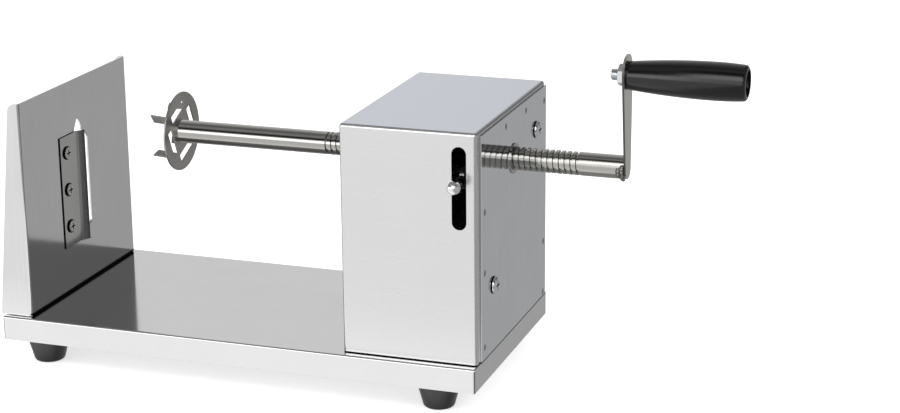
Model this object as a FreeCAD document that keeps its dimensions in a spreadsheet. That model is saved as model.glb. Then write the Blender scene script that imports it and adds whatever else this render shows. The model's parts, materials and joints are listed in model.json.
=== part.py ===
import FreeCAD, Part
import math
import os
import re
import Sketcher

# Hand cranked spiral potato cutter. A folded tray stands on four rubber feet. It carries an upright
# blade plate at the left end and a sheet-metal box at the right end. A hollow lead screw runs through
# the box: a half nut on a sprung lever holds it, so the crank winds the fork towards the blade.
#
# Millimetres, +Z up. The origin is the middle of the tray's footprint on the plane the feet stand on.
# +X runs from the blade plate to the crank, and the screw's axis lies over Y = 0.

TURN_Z_TO_X = FreeCAD.Rotation(FreeCAD.Vector(0, 1, 0), 90)
TURN_Z_TO_MINUS_X = FreeCAD.Rotation(FreeCAD.Vector(0, 1, 0), -90)
TURN_OVER = FreeCAD.Rotation(FreeCAD.Vector(1, 0, 0), 180)
UPRIGHT = FreeCAD.Rotation()
ABOUT_X = FreeCAD.Rotation(FreeCAD.Vector(1, 0, 0), 1)

SIZES = {
    # tray
    "base_length": 352,
    "base_width": 168.7,
    "skirt_height": 17.3,
    "base_sheet": 1.2,
    "base_bend": 1.4,
    "corner_seam": 0.9,
    "lip_width": 36,
    # feet
    "foot_height": 18.5,
    "foot_top_diameter": 31.5,
    "foot_bottom_diameter": 21,
    "foot_edge_round": 2.5,
    "foot_rim_height": 1.2,
    "foot_inset_left": 24.9,
    "foot_inset_right": 31.5,
    "foot_inset_side": 19.5,
    "foot_recess_depth": 9,
    "foot_recess_diameter": 13,
    # blade plate
    "plate_setback": 21,
    "plate_width": 160.6,
    "plate_height": 154.8,
    "plate_sheet": 1.2,
    "plate_bend": 2.5,
    "plate_gap": 0.6,
    "flange_foot_width": 24,
    "flange_head_width": 8,
    "flange_corner_round": 5.5,
    "plate_lip": 18,
    "plate_lip_clearance": 1,
    "plate_screw_setback": 10,
    "plate_screw_spread": 40,
    # slot in the plate, and the blade beside it
    "slot_width": 20.3,
    "slot_length": 76.9,
    "slot_shift": 5.35,
    "slot_height": 77.1,
    "slot_head_width": 10.9,
    "slot_head_shift": 0.95,
    "slot_head_shoulder": 117,
    "slot_head_top": 125,
    "slot_head_flank": 5.2,
    "slot_head_right_shoulder": 118.5,
    "slot_head_right_flank": 3,
    "slot_head_round": 1.5,
    "blade_height": 75.5,
    "blade_length": 82.9,
    "blade_flat": 22.4,
    "blade_thickness": 0.8,
    "blade_bend_offset": 4.5,
    "wing_width": 8.4,
    "wing_angle": 28,
    "wing_edge": 0.3,
    "blade_screw_height": 76.7,
    "blade_screw_pitch": 27.5,
    "blade_screw_inset": 9.3,
    # box
    "box_length": 97.4,
    "box_depth": 156.3,
    "box_headroom": 36.5,
    "box_sheet": 1.2,
    "box_bend": 2.4,
    "front_return": 22.5,
    "top_return": 17,
    "back_return": 12,
    "box_lip": 15,
    "box_screw_inset": 8,
    "box_screw_spread": 30,
    "access_hole_diameter": 11,
    "panel_sheet": 1.2,
    "panel_front_setback": 6.4,
    "panel_back_setback": 0.5,
    "panel_top_setback": 3.2,
    "knob_slot_width": 10,
    "knob_slot_length": 56,
    "knob_slot_setback": 12.1,
    "knob_slot_drop": 1.2,
    # bushes in the two side panels
    "bush_barrel_diameter": 19,
    "bush_flange_diameter": 21,
    "bush_flange_height": 0.8,
    "bush_barrel_length": 6,
    "bush_snap_height": 0.5,
    "bush_snap_width": 0.8,
    # lead screw, sleeve and fork
    "axis_height": 122.7,
    "shaft_diameter": 16,
    "skewer_bore_diameter": 6,
    "sleeve_bore_diameter": 12,
    "sleeve_length": 112.35,
    "thread_length": 183.8,
    "thread_pitch": 4,
    "groove_depth": 1.1,
    "groove_mouth": 1.9,
    "groove_floor": 1.1,
    "plain_length": 29.25,
    "thread_standoff": 37.55,
    "spigot_reach": 4,
    "fork_diameter": 56.4,
    "fork_sheet": 1.2,
    "fork_slot_offset": 16.2,
    "fork_slot_start": 11.6,
    "fork_slot_end": 9.6,
    "fork_slot_width": 6.2,
    "fork_phase": 24,
    "prong_length": 15.5,
    "prong_lean": 1.7,
    "prong_tip_cut": 1.5,
    # crank
    "arm_thickness": 1.5,
    "crank_radius": 64,
    "crank_tilt": 3.6,
    "arm_foot_width": 14,
    "arm_foot_reach": 8,
    "arm_head_width": 24,
    "arm_head_reach": 14.3,
    "handle_thread": 8,
    "handle_shoulder": 10,
    "handle_head_diameter": 16,
    "handle_head_height": 5,
    "handle_socket_flats": 5,
    "handle_socket_depth": 3,
    "handle_nut_flats": 13,
    "handle_nut_height": 4.6,
    "handle_bolt_reach": 5.3,
    "grip_length": 79,
    "grip_neck_diameter": 18.8,
    "grip_belly_distance": 58,
    "grip_belly_diameter": 25.5,
    "grip_end_diameter": 23.5,
    "grip_end_round": 2.5,
    "grip_recess_depth": 8,
    "grip_recess_diameter": 17.6,
    # release lever, half nut and knob
    "lever_sheet": 3,
    "pivot_back": 53,
    "pivot_rise": 6.9,
    "lever_boss_diameter": 18,
    "lever_tab_clearance": 4.3,
    "lever_tab_bottom": 4,
    "lever_tab_top": 8,
    "lever_tab_round": 4,
    "lever_top": 20,
    "pivot_bush_diameter": 10,
    "pivot_bush_length": 10,
    "nut_length": 11,
    "nut_width": 32,
    "nut_bottom": 3,
    "nut_top": 18.5,
    "nut_screw_spread": 12,
    "nut_screw_rise": 12.5,
    "arch_clearance": 1.5,
    "stud_diameter": 5,
    "stud_collar_diameter": 8,
    "stud_collar_length": 2.5,
    "knob_diameter": 9.4,
    "knob_reach": 11,
    "knob_rise": 2.5,
    "knob_neck_diameter": 6.6,
    "knob_neck_length": 8,
    "knob_bore_depth": 9,
    "stud_in_ball": 1,
    # release spring
    "spring_wire": 1.2,
    "spring_mean_diameter": 7.5,
    "spring_turns": 20.25,
    "spring_front": 45.2,
    "spring_bolt_height": 46.8,
    "spring_leg": 7.5,
    "spring_ligament": 2.4,
    "hook_hole_diameter": 2.6,
    "spring_nut_gap": 1.8,
    # fasteners
    "small_screw": 4,
    "small_head_diameter": 8,
    "small_head_height": 2.4,
    "small_nut_flats": 7,
    "small_nut_height": 3.2,
    "medium_screw": 5,
    "medium_head_diameter": 10,
    "medium_head_height": 3.2,
    "medium_low_head_height": 1.6,
    "medium_nut_flats": 8,
    "medium_nut_height": 4,
    "medium_washer_diameter": 12,
    "medium_washer_height": 1.2,
    "large_bolt": 6,
    "large_head_diameter": 12,
    "large_head_height": 2.8,
    "large_nut_flats": 10,
    "large_nut_height": 5,
    "large_washer_diameter": 12,
    "large_washer_height": 1,
    "thread_end": 1,
    "recess_arm": 0.55,
    "recess_width": 1.1,
    "recess_depth": 1.4,
    "head_round_share": 0.85,
    # clearances
    "hole_clearance": 0.25,
    "thread_clearance": 0.05,
    "running_clearance": 0.08,
    "end_float": 0.1,
    "side_play": 0.3,
    "mesh_clearance": 0.25,
    "seat_gap": 0.05,
}

doc = FreeCAD.newDocument("potato_cutter")
sheet = doc.addObject("Spreadsheet::Sheet", "Sizes")
for row, (alias, amount) in enumerate(SIZES.items(), start=1):
    sheet.set(f"A{row}", alias)
    sheet.set(f"B{row}", str(amount))
    sheet.setAlias(f"B{row}", alias)
doc.recompute()

ALIAS = re.compile(r"\b(" + "|".join(SIZES) + r")\b")

# Places that several pieces share, worked out from the sizes.
BASE_TOP = "(foot_height + skirt_height)"
PLATE_FACE = "(plate_setback - base_length / 2)"
BOX_HEIGHT = "(axis_height + box_headroom)"
BOX_RIGHT = "(base_length / 2 + panel_sheet)"
BOX_LEFT = "(base_length / 2 + panel_sheet - box_length)"
BOX_MIDDLE = "(base_length / 2 + panel_sheet - box_length / 2)"
PANEL_INNER = "(base_length / 2)"
AXIS_Z = "(foot_height + skirt_height + axis_height)"
THREAD_START = f"({BOX_LEFT} - thread_standoff)"
FORK_FACE = f"({THREAD_START} - sleeve_length)"
ARM_INNER = f"({THREAD_START} + thread_length + plain_length)"
ARM_OUTER = f"({ARM_INNER} + arm_thickness)"
LEVER_MIDDLE = "(base_length / 2 - knob_slot_setback)"
LEVER_RIGHT = f"({LEVER_MIDDLE} + lever_sheet / 2)"
LEVER_LEFT = f"({LEVER_MIDDLE} - lever_sheet / 2)"
NUT_LEFT = f"({LEVER_LEFT} - nut_length)"
LEVER_TAB = "(box_depth / 2 - box_sheet - lever_tab_clearance)"
HANDLE_Y = "(-crank_radius * sin(crank_tilt))"
HANDLE_Z = f"({AXIS_Z} + crank_radius * cos(crank_tilt))"
SPIGOT_DIAMETER = "(sleeve_bore_diameter - 2 * running_clearance)"
JAM_NUT_LEFT = f"({PANEL_INNER} - large_nut_height)"
PIVOT_BUSH_RIGHT = f"({JAM_NUT_LEFT} - side_play)"
PIVOT_BUSH_LEFT = f"({PIVOT_BUSH_RIGHT} - pivot_bush_length)"
PIVOT_WASHER_LEFT = f"({PIVOT_BUSH_LEFT} - side_play - large_washer_height)"
SPRING_BOLT_Z = f"({BASE_TOP} + spring_bolt_height)"
SPRING_NUT_RIGHT = f"({LEVER_MIDDLE} - spring_nut_gap)"
LOWER_EDGE_SLOPE = f"((nut_bottom + lever_tab_bottom) / ({LEVER_TAB} - nut_width / 2))"
LEVER_EDGE_AT_SPRING = f"(nut_bottom - {LOWER_EDGE_SLOPE} * (spring_front - nut_width / 2))"
HOOK_CHORD = "sqrt(spring_mean_diameter ^ 2 - lever_sheet ^ 2)"
HOOK_DIP = f"((spring_mean_diameter - {HOOK_CHORD}) / 2)"
HOOK_WIRE_HALF = f"(spring_wire / 2 * spring_mean_diameter / {HOOK_CHORD})"
HOOK_CROWN_Z = f"({LEVER_EDGE_AT_SPRING} + spring_ligament + seat_gap + {HOOK_DIP} + {HOOK_WIRE_HALF})"
HOOK_HOLE_Z = f"({LEVER_EDGE_AT_SPRING} + spring_ligament + hook_hole_diameter / 2)"

exported = []


def size(text):
    """The expression with each size's name pointed at the sheet."""
    return ALIAS.sub(r"Sizes.\1", text)


def number(text):
    """The expression's present value, as a plain number of millimetres or degrees."""
    result = sheet.evalExpression(text)
    return float(getattr(result, "Value", result))


def bind(item, **bindings):
    """Tie properties of an object to expressions of sizes."""
    for name, text in bindings.items():
        item.setExpression(name, size(text))
    return item


def place(item, x="0", y="0", z="0", turn=UPRIGHT, angle=None):
    """Put an object in the model's frame, its position tied to the sizes."""
    item.Placement = FreeCAD.Placement(FreeCAD.Vector(), turn)
    for axis, text in (("x", x), ("y", y), ("z", z)):
        item.setExpression(f"Placement.Base.{axis}", size(text))
    if angle:
        item.setExpression("Placement.Rotation.Angle", size(angle))
    return item


def piece(item, label):
    """Name a finished sub-part. The label is also its file's name."""
    item.Label = label
    exported.append(item)
    return item


# Sketches

def origin_item(body, role):
    return next(item for item in body.Origin.OriginFeatures if item.Role == role)


def new_sketch(body, role, name, offset=None):
    sketch = body.newObject("Sketcher::SketchObject", f"{body.Name}_{name}")
    sketch.AttachmentSupport = [(origin_item(body, role), "")]
    sketch.MapMode = "FlatFace"
    if offset:
        sketch.setExpression("AttachmentOffset.Base.z", size(offset))
    return sketch


def hold(sketch, kind, text, *geometry):
    """Add a driving dimension that follows an expression."""
    index = sketch.addConstraint(Sketcher.Constraint(kind, *geometry, number(text)))
    name = f"dimension{index}"
    sketch.renameConstraint(index, name)
    sketch.setExpression(f"Constraints.{name}", size(text))


def hold_point(sketch, geometry, point, x, y):
    hold(sketch, "DistanceX", x, -1, 1, geometry, point)
    hold(sketch, "DistanceY", y, -1, 1, geometry, point)


def polygon(sketch, corners):
    """A closed outline. A corner's third value makes the edge that leaves it an upward bow, drawn
    from left to right about a centre at that x."""
    first = sketch.GeometryCount
    count = len(corners)
    rough = [FreeCAD.Vector(number(corner[0]), number(corner[1]), 0) for corner in corners]
    ends = []
    for step, corner in enumerate(corners):
        start, stop = rough[step], rough[(step + 1) % count]
        if len(corner) > 2:
            sketch.addGeometry(bow(start, stop, number(corner[2])))
            ends.append((2, 1))
        else:
            sketch.addGeometry(Part.LineSegment(start, stop))
            ends.append((1, 2))
    for step in range(count):
        following = (step + 1) % count
        sketch.addConstraint(Sketcher.Constraint("Coincident", first + step, ends[step][1],
                                                 first + following, ends[following][0]))
    for step, corner in enumerate(corners):
        hold_point(sketch, first + step, ends[step][0], corner[0], corner[1])
        if len(corner) > 2:
            hold(sketch, "DistanceX", corner[2], -1, 1, first + step, 3)


def bow(start, stop, centre_x):
    """The arc between two points whose centre lies below them at a given x."""
    middle = (start + stop) / 2
    centre_y = middle.y + (stop.x - start.x) * (middle.x - centre_x) / (stop.y - start.y)
    centre = FreeCAD.Vector(centre_x, centre_y, 0)
    crown = centre + (middle - centre).normalize() * (start - centre).Length
    return Part.ArcOfCircle(start, crown, stop)


def rectangle(sketch, left, bottom, right, top):
    polygon(sketch, [(left, bottom), (right, bottom), (right, top), (left, top)])


def circle(sketch, x, y, diameter):
    index = sketch.GeometryCount
    centre = FreeCAD.Vector(number(x), number(y), 0)
    sketch.addGeometry(Part.Circle(centre, FreeCAD.Vector(0, 0, 1), number(diameter) / 2))
    hold_point(sketch, index, 3, x, y)
    hold(sketch, "Diameter", diameter, index)


def upright_slot(sketch, x, y, width, length):
    """A slot with round ends, its length along the sketch's vertical."""
    top, right, bottom, left = range(sketch.GeometryCount, sketch.GeometryCount + 4)
    radius = number(width) / 2
    reach = (number(length) - number(width)) / 2
    mid_x, mid_y = number(x), number(y)
    up = FreeCAD.Vector(0, 0, 1)
    high = FreeCAD.Vector(mid_x, mid_y + reach, 0)
    low = FreeCAD.Vector(mid_x, mid_y - reach, 0)
    side = FreeCAD.Vector(radius, 0, 0)
    sketch.addGeometry(Part.ArcOfCircle(Part.Circle(high, up, radius), 0, math.pi))
    sketch.addGeometry(Part.LineSegment(low + side, high + side))
    sketch.addGeometry(Part.ArcOfCircle(Part.Circle(low, up, radius), math.pi, 2 * math.pi))
    sketch.addGeometry(Part.LineSegment(high - side, low - side))
    joints = ((top, 1, right, 2), (right, 1, bottom, 2), (bottom, 1, left, 2), (left, 1, top, 2))
    for joint in joints:
        sketch.addConstraint(Sketcher.Constraint("Tangent", *joint))
    hold_point(sketch, top, 3, x, f"({y}) + (({length}) - ({width})) / 2")
    hold_point(sketch, bottom, 3, x, f"({y}) - (({length}) - ({width})) / 2")
    hold(sketch, "Diameter", width, top)


# Features

def new_body(name):
    return doc.addObject("PartDesign::Body", name)


def pad(body, sketch, length, midplane=False, reverse=False):
    feature = body.newObject("PartDesign::Pad", f"{sketch.Name}_pad")
    feature.Profile = sketch
    feature.Midplane = midplane
    feature.Reversed = reverse
    bind(feature, Length=length)
    doc.recompute()
    return feature


def pocket(body, sketch, length=None, midplane=False, reverse=False):
    """Cut a sketch out of the body, to a depth or right through, and make sure that it cuts."""
    before = body.Shape.Volume
    feature = body.newObject("PartDesign::Pocket", f"{sketch.Name}_pocket")
    feature.Profile = sketch
    feature.Midplane = midplane
    feature.Reversed = reverse
    if length:
        bind(feature, Length=length)
    else:
        feature.Type = "ThroughAll"
    doc.recompute()
    check_cut(feature, before)
    return feature


def revolve(body, sketch, role):
    feature = body.newObject("PartDesign::Revolution", f"{sketch.Name}_turned")
    feature.Profile = sketch
    feature.ReferenceAxis = (origin_item(body, role), [""])
    feature.Angle = 360
    doc.recompute()
    return feature


def check_cut(feature, before):
    """Stop if a feature took away nothing, or everything."""
    if not 0 < feature.Shape.Volume < before:
        raise RuntimeError(f"{feature.Name} doesn't cut: {before} to {feature.Shape.Volume}")


def soften(body, kind, feature, radius, wanted):
    """Fillet or chamfer the edges of a feature that the test picks."""
    edges = feature.Shape.Edges
    names = [f"Edge{count}" for count, edge in enumerate(edges, start=1) if wanted(edge)]
    if not names:
        raise RuntimeError(f"{feature.Name} has no such edge")
    result = body.newObject(f"PartDesign::{kind}", f"{feature.Name}_{kind.lower()}")
    result.Base = (feature, names)
    bind(result, **{"Radius" if kind == "Fillet" else "Size": radius})
    doc.recompute()
    return result


def fillet(body, feature, radius, wanted):
    return soften(body, "Fillet", feature, radius, wanted)


def shell(body, feature, sheet_thickness, wanted):
    """Hollow a block to a sheet, open at the picked face."""
    faces = feature.Shape.Faces
    names = [f"Face{count}" for count, face in enumerate(faces, start=1) if wanted(face)]
    result = body.newObject("PartDesign::Thickness", f"{feature.Name}_shell")
    result.Base = (feature, names)
    result.Reversed = True
    bind(result, Value=sheet_thickness)
    doc.recompute()
    check_cut(result, feature.Shape.Volume)
    return result


def wind(body, sketch, length):
    """Cut a right-hand groove of the screw's pitch along X, with the sketch as its section."""
    before = body.Shape.Volume
    feature = body.newObject("PartDesign::SubtractiveHelix", f"{sketch.Name}_helix")
    feature.Profile = sketch
    feature.ReferenceAxis = (origin_item(body, "X_Axis"), [""])
    feature.Mode = "pitch-height-angle"
    bind(feature, Pitch="thread_pitch", Height=length)
    body.Tip = feature
    doc.recompute()
    check_cut(feature, before)
    return feature


def polar(body, originals, role, count):
    feature = body.newObject("PartDesign::PolarPattern", f"{body.Name}_pattern")
    feature.Originals = originals
    feature.Axis = (origin_item(body, role), [""])
    feature.Angle = 360
    feature.Occurrences = count
    body.Tip = feature
    doc.recompute()
    return feature


def near(first, second):
    return abs(first - second) < 0.01


def all_at(edge, axis, level):
    """Whether both ends of an edge lie at one height of an axis."""
    return all(near(getattr(vertex.Point, axis), level) for vertex in edge.Vertexes)


def runs_along(edge, axis):
    """Whether an edge is straight and parallel to an axis."""
    if not isinstance(edge.Curve, Part.Line):
        return False
    return abs(getattr(edge.Curve.Direction, axis)) > 0.999


# Fasteners: one master of each, linked to its places

def pan_screw(name, diameter, head_diameter, head_height, length):
    """A cross-recessed screw, head up, its seat at z = 0 and its shank down to minus the length."""
    body = new_body(name)
    head = new_sketch(body, "XY_Plane", "head")
    circle(head, "0", "0", head_diameter)
    blank = pad(body, head, head_height)
    top = number(head_height)
    domed = fillet(body, blank, f"{head_height} * head_round_share", lambda edge: all_at(edge, "z", top))
    recess = new_sketch(body, "XY_Plane", "recess", offset=head_height)
    arm = f"({diameter} * recess_arm)"
    half = "(recess_width / 2)"
    polygon(recess, [
        (half, half), (arm, half), (arm, f"-{half}"), (half, f"-{half}"),
        (half, f"-{arm}"), (f"-{half}", f"-{arm}"), (f"-{half}", f"-{half}"), (f"-{arm}", f"-{half}"),
        (f"-{arm}", half), (f"-{half}", half), (f"-{half}", arm), (half, arm),
    ])
    pocket(body, recess, "recess_depth")
    shank = new_sketch(body, "XY_Plane", "shank")
    circle(shank, "0", "0", diameter)
    pad(body, shank, length, reverse=True)
    return body


def hex_nut(name, diameter, flats, height):
    """A nut that stands on z = 0."""
    body = new_body(name)
    outline = new_sketch(body, "XY_Plane", "outline")
    corner = f"({flats} / sqrt(3))"
    polygon(outline, [(f"{corner} * cos({turn})", f"{corner} * sin({turn})") for turn in range(0, 360, 60)])
    circle(outline, "0", "0", f"{diameter} + 2 * thread_clearance")
    pad(body, outline, height)
    return body


def washer(name, diameter, outside, height):
    body = new_body(name)
    outline = new_sketch(body, "XY_Plane", "outline")
    circle(outline, "0", "0", outside)
    circle(outline, "0", "0", f"{diameter} + 2 * hole_clearance")
    pad(body, outline, height)
    return body


def copies(label, master, spots, turn=UPRIGHT):
    """One node holding a linked copy of the master at each spot."""
    links = []
    for count, spot in enumerate(spots, start=1):
        link = doc.addObject("App::Link", f"{label}_{count}")
        link.LinkedObject = master
        links.append(place(link, *spot, turn=turn))
    group = doc.addObject("Part::Compound", label)
    group.Links = links
    return piece(group, label)


# Tray and feet

FOOT_SPOTS = {
    "front_left": ("foot_inset_left - base_length / 2", "foot_inset_side - base_width / 2"),
    "front_right": ("base_length / 2 - foot_inset_right", "foot_inset_side - base_width / 2"),
    "rear_left": ("foot_inset_left - base_length / 2", "base_width / 2 - foot_inset_side"),
    "rear_right": ("base_length / 2 - foot_inset_right", "base_width / 2 - foot_inset_side"),
}

BOX_SCREW_SPOTS = [
    (f"{BOX_MIDDLE} {side_x} box_screw_spread", f"{side_y}(box_depth / 2 - box_screw_inset)")
    for side_x in ("-", "+") for side_y in ("-", "+")
]

PLATE_SCREW_X = f"({PLATE_FACE} - plate_sheet - plate_screw_setback)"
PLATE_SCREW_SPOTS = [(PLATE_SCREW_X, "-plate_screw_spread"), (PLATE_SCREW_X, "plate_screw_spread")]


def base_tray():
    """Folded tray: a top sheet, four skirts, and two inward lips that hold the feet."""
    body = new_body("tray")
    outline = new_sketch(body, "XY_Plane", "outline")
    rectangle(outline, "-base_length / 2", "-base_width / 2", "base_length / 2", "base_width / 2")
    block = pad(body, outline, "skirt_height", reverse=True)
    bends = fillet(body, block, "base_bend", lambda edge: all_at(edge, "z", 0))
    bottom = -number("skirt_height")
    shell(body, bends, "base_sheet", lambda face: near(face.BoundBox.ZMax, bottom))

    lips = new_sketch(body, "XY_Plane", "lips", offset="-skirt_height")
    lip_end = "(base_length / 2 - base_bend - corner_seam)"
    lip_outer = "(base_width / 2 - base_sheet / 2)"
    lip_inner = "(base_width / 2 - lip_width)"
    rectangle(lips, f"-{lip_end}", f"-{lip_outer}", lip_end, f"-{lip_inner}")
    rectangle(lips, f"-{lip_end}", lip_inner, lip_end, lip_outer)
    pad(body, lips, "base_sheet")

    seams = new_sketch(body, "XY_Plane", "seams", offset="-base_bend")
    for side_x in ("-", ""):
        for side_y in ("-", ""):
            outer_x, outer_y = f"{side_x}base_length / 2", f"{side_y}base_width / 2"
            inner_x = f"{side_x}(base_length / 2 - corner_seam)"
            inner_y = f"{side_y}(base_width / 2 - corner_seam)"
            rectangle(seams, outer_x, outer_y, inner_x, inner_y)
    pocket(body, seams, "skirt_height")

    lip_holes = new_sketch(body, "XY_Plane", "lip_holes", offset="-skirt_height / 2")
    for x, y in FOOT_SPOTS.values():
        circle(lip_holes, x, y, "medium_screw + 2 * hole_clearance")
    for x, y in BOX_SCREW_SPOTS:
        circle(lip_holes, x, y, "access_hole_diameter")
    pocket(body, lip_holes)

    top_holes = new_sketch(body, "XY_Plane", "top_holes", offset="-skirt_height / 2")
    for x, y in PLATE_SCREW_SPOTS + BOX_SCREW_SPOTS:
        circle(top_holes, x, y, "small_screw + 2 * hole_clearance")
    pocket(body, top_holes, reverse=True)
    place(body, z=BASE_TOP)
    return piece(body, "base_tray")


def foot(corner, x, y):
    """Tapered rubber foot with a thin top rim and a recess for its screw's head."""
    body = new_body(f"foot_body_{corner}")
    outline = new_sketch(body, "XZ_Plane", "outline")
    bore = "(medium_screw / 2 + hole_clearance)"
    polygon(outline, [
        (bore, "foot_recess_depth"), ("foot_recess_diameter / 2", "foot_recess_depth"),
        ("foot_recess_diameter / 2", "0"), ("foot_bottom_diameter / 2", "0"),
        ("foot_top_diameter / 2 - foot_rim_height / 2", "foot_height - foot_rim_height"),
        ("foot_top_diameter / 2", "foot_height - foot_rim_height"),
        ("foot_top_diameter / 2", "foot_height"), (bore, "foot_height"),
    ])
    turned = revolve(body, outline, "Z_Axis")
    rim = number("foot_bottom_diameter") / 2
    fillet(body, turned, "foot_edge_round",
           lambda edge: all_at(edge, "z", 0) and near(edge.BoundBox.XMax, rim))
    place(body, x, y)
    return piece(body, f"foot_{corner}")


# Blade plate and blade

def blade_plate():
    """Upright plate with tapered side flanges, a bottom lip and the slot for the cut potato."""
    body = new_body("plate")
    side = new_sketch(body, "XZ_Plane", "side")
    polygon(side, [
        ("0", "plate_gap"), ("0", "plate_height"),
        ("-flange_head_width", "plate_height"), ("-flange_foot_width", "plate_gap"),
    ])
    block = pad(body, side, "plate_width", midplane=True)
    head, top = -number("flange_head_width"), number("plate_height")
    corners = fillet(body, block, "flange_corner_round",
                     lambda edge: all_at(edge, "z", top) and all_at(edge, "x", head))
    bends = fillet(body, corners, "plate_bend",
                   lambda edge: runs_along(edge, "z") and all_at(edge, "x", 0))
    inside = new_sketch(body, "XY_Plane", "inside")
    half_inside = "(plate_width / 2 - plate_sheet)"
    rectangle(inside, "-flange_foot_width - plate_sheet", f"-{half_inside}", "-plate_sheet", half_inside)
    pocket(body, inside, reverse=True)

    lip = new_sketch(body, "XY_Plane", "lip")
    half_lip = f"({half_inside} - plate_lip_clearance)"
    rectangle(lip, "-plate_sheet - plate_lip", f"-{half_lip}", "-plate_sheet / 2", half_lip)
    pad(body, lip, "plate_sheet")

    slot = new_sketch(body, "YZ_Plane", "slot")
    upright_slot(slot, "slot_shift", "slot_height", "slot_width", "slot_length")
    for step in ("-", "0 *", ""):
        circle(slot, "blade_screw_inset - blade_flat - blade_bend_offset",
               f"blade_screw_height + {step} blade_screw_pitch", "medium_screw + 2 * hole_clearance")
    pocket(body, slot, midplane=True)

    head = new_sketch(body, "YZ_Plane", "slot_head")
    left, right = "(slot_head_shift - slot_head_width / 2)", "(slot_head_shift + slot_head_width / 2)"
    polygon(head, [
        (left, "slot_height"), (right, "slot_height"), (right, "slot_head_right_shoulder"),
        (f"{right} - slot_head_right_flank", "slot_head_top"), (f"{left} + slot_head_flank", "slot_head_top"),
        (left, "slot_head_shoulder"),
    ])
    narrow = pocket(body, head, midplane=True)
    crown = number("slot_head_top")
    fillet(body, narrow, "slot_head_round", lambda edge: runs_along(edge, "x") and all_at(edge, "z", crown))

    lip_holes = new_sketch(body, "XY_Plane", "lip_holes")
    for side_y in ("-", ""):
        circle(lip_holes, "-plate_sheet - plate_screw_setback", f"{side_y}plate_screw_spread",
               "small_screw + 2 * hole_clearance")
    pocket(body, lip_holes, midplane=True)
    place(body, x=PLATE_FACE, z=BASE_TOP)
    return piece(body, "blade_plate")


def blade():
    """Steel strip along the slot, its edge bent out towards the potato and ground thin."""
    body = new_body("blade_strip")
    section = new_sketch(body, "XY_Plane", "section")
    outer = "(-blade_bend_offset - blade_flat)"
    bend = "(-blade_bend_offset)"
    edge_x = "(blade_thickness + wing_width * sin(wing_angle))"
    edge_y = f"({bend} + wing_width * cos(wing_angle))"
    polygon(section, [
        ("0", outer), ("blade_thickness", outer), ("blade_thickness", bend), (edge_x, edge_y),
        (f"{edge_x} - wing_edge * cos(wing_angle)", f"{edge_y} + wing_edge * sin(wing_angle)"),
        ("0", f"{bend} + blade_thickness * tan(wing_angle / 2)"),
    ])
    pad(body, section, "blade_length", midplane=True)
    holes = new_sketch(body, "YZ_Plane", "holes")
    for step in ("-", "0 *", ""):
        circle(holes, f"{outer} + blade_screw_inset",
               f"blade_screw_height - blade_height + {step} blade_screw_pitch",
               "medium_screw + 2 * hole_clearance")
    pocket(body, holes, midplane=True)
    place(body, x=PLATE_FACE, z=f"{BASE_TOP} + blade_height")
    return piece(body, "blade")


# Box

def box_cover():
    """Folded cover: front, top and back in one sheet, with returns at the sides and lips below."""
    body = new_body("cover")
    half_x = "(box_length / 2 - panel_sheet)"
    half_y = "(box_depth / 2)"
    outline = new_sketch(body, "XY_Plane", "outline")
    rectangle(outline, f"-{half_x}", f"-{half_y}", half_x, half_y)
    block = pad(body, outline, BOX_HEIGHT)
    top = number(BOX_HEIGHT)
    bends = fillet(body, block, "box_bend",
                   lambda edge: runs_along(edge, "z") or all_at(edge, "z", top))
    shell(body, bends, "box_sheet", lambda face: near(face.BoundBox.ZMax, 0))

    windows = new_sketch(body, "YZ_Plane", "windows")
    rectangle(windows, f"front_return - {half_y}", "0", f"{half_y} - back_return",
              f"{BOX_HEIGHT} - top_return")
    pocket(body, windows, midplane=True)

    lips = new_sketch(body, "XY_Plane", "lips")
    lip_end = f"({half_x} - box_bend)"
    lip_outer, lip_inner = f"({half_y} - box_sheet / 2)", f"({half_y} - box_lip)"
    rectangle(lips, f"-{lip_end}", f"-{lip_outer}", lip_end, f"-{lip_inner}")
    rectangle(lips, f"-{lip_end}", lip_inner, lip_end, lip_outer)
    pad(body, lips, "box_sheet")

    slot = new_sketch(body, "XZ_Plane", "slot", offset="box_depth / 4")
    upright_slot(slot, f"{half_x} - knob_slot_setback", "axis_height - knob_slot_drop",
                 "knob_slot_width", "knob_slot_length")
    pocket(body, slot, reverse=True)

    holes = new_sketch(body, "XY_Plane", "holes")
    for side_x in ("-", ""):
        for side_y in ("-", ""):
            circle(holes, f"{side_x}box_screw_spread", f"{side_y}(box_depth / 2 - box_screw_inset)",
                   "small_screw + 2 * hole_clearance")
    pocket(body, holes, "2 * box_sheet", midplane=True)
    place(body, x=BOX_MIDDLE, z=BASE_TOP)
    return piece(body, "box_cover")


def side_panel(label, x, bolt_holes):
    """Flat side panel, laid over the cover's returns, with a round hole for the bush."""
    body = new_body(f"{label}_body")
    outline = new_sketch(body, "YZ_Plane", "outline")
    rectangle(outline, "panel_front_setback - box_depth / 2", "0",
              "box_depth / 2 - panel_back_setback", f"{BOX_HEIGHT} - panel_top_setback")
    circle(outline, "0", "axis_height", "bush_barrel_diameter + 2 * seat_gap")
    for y, z in bolt_holes:
        circle(outline, y, z, "large_bolt + 2 * hole_clearance")
    pad(body, outline, "panel_sheet")
    place(body, x=x, z=BASE_TOP)
    return piece(body, label)


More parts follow.
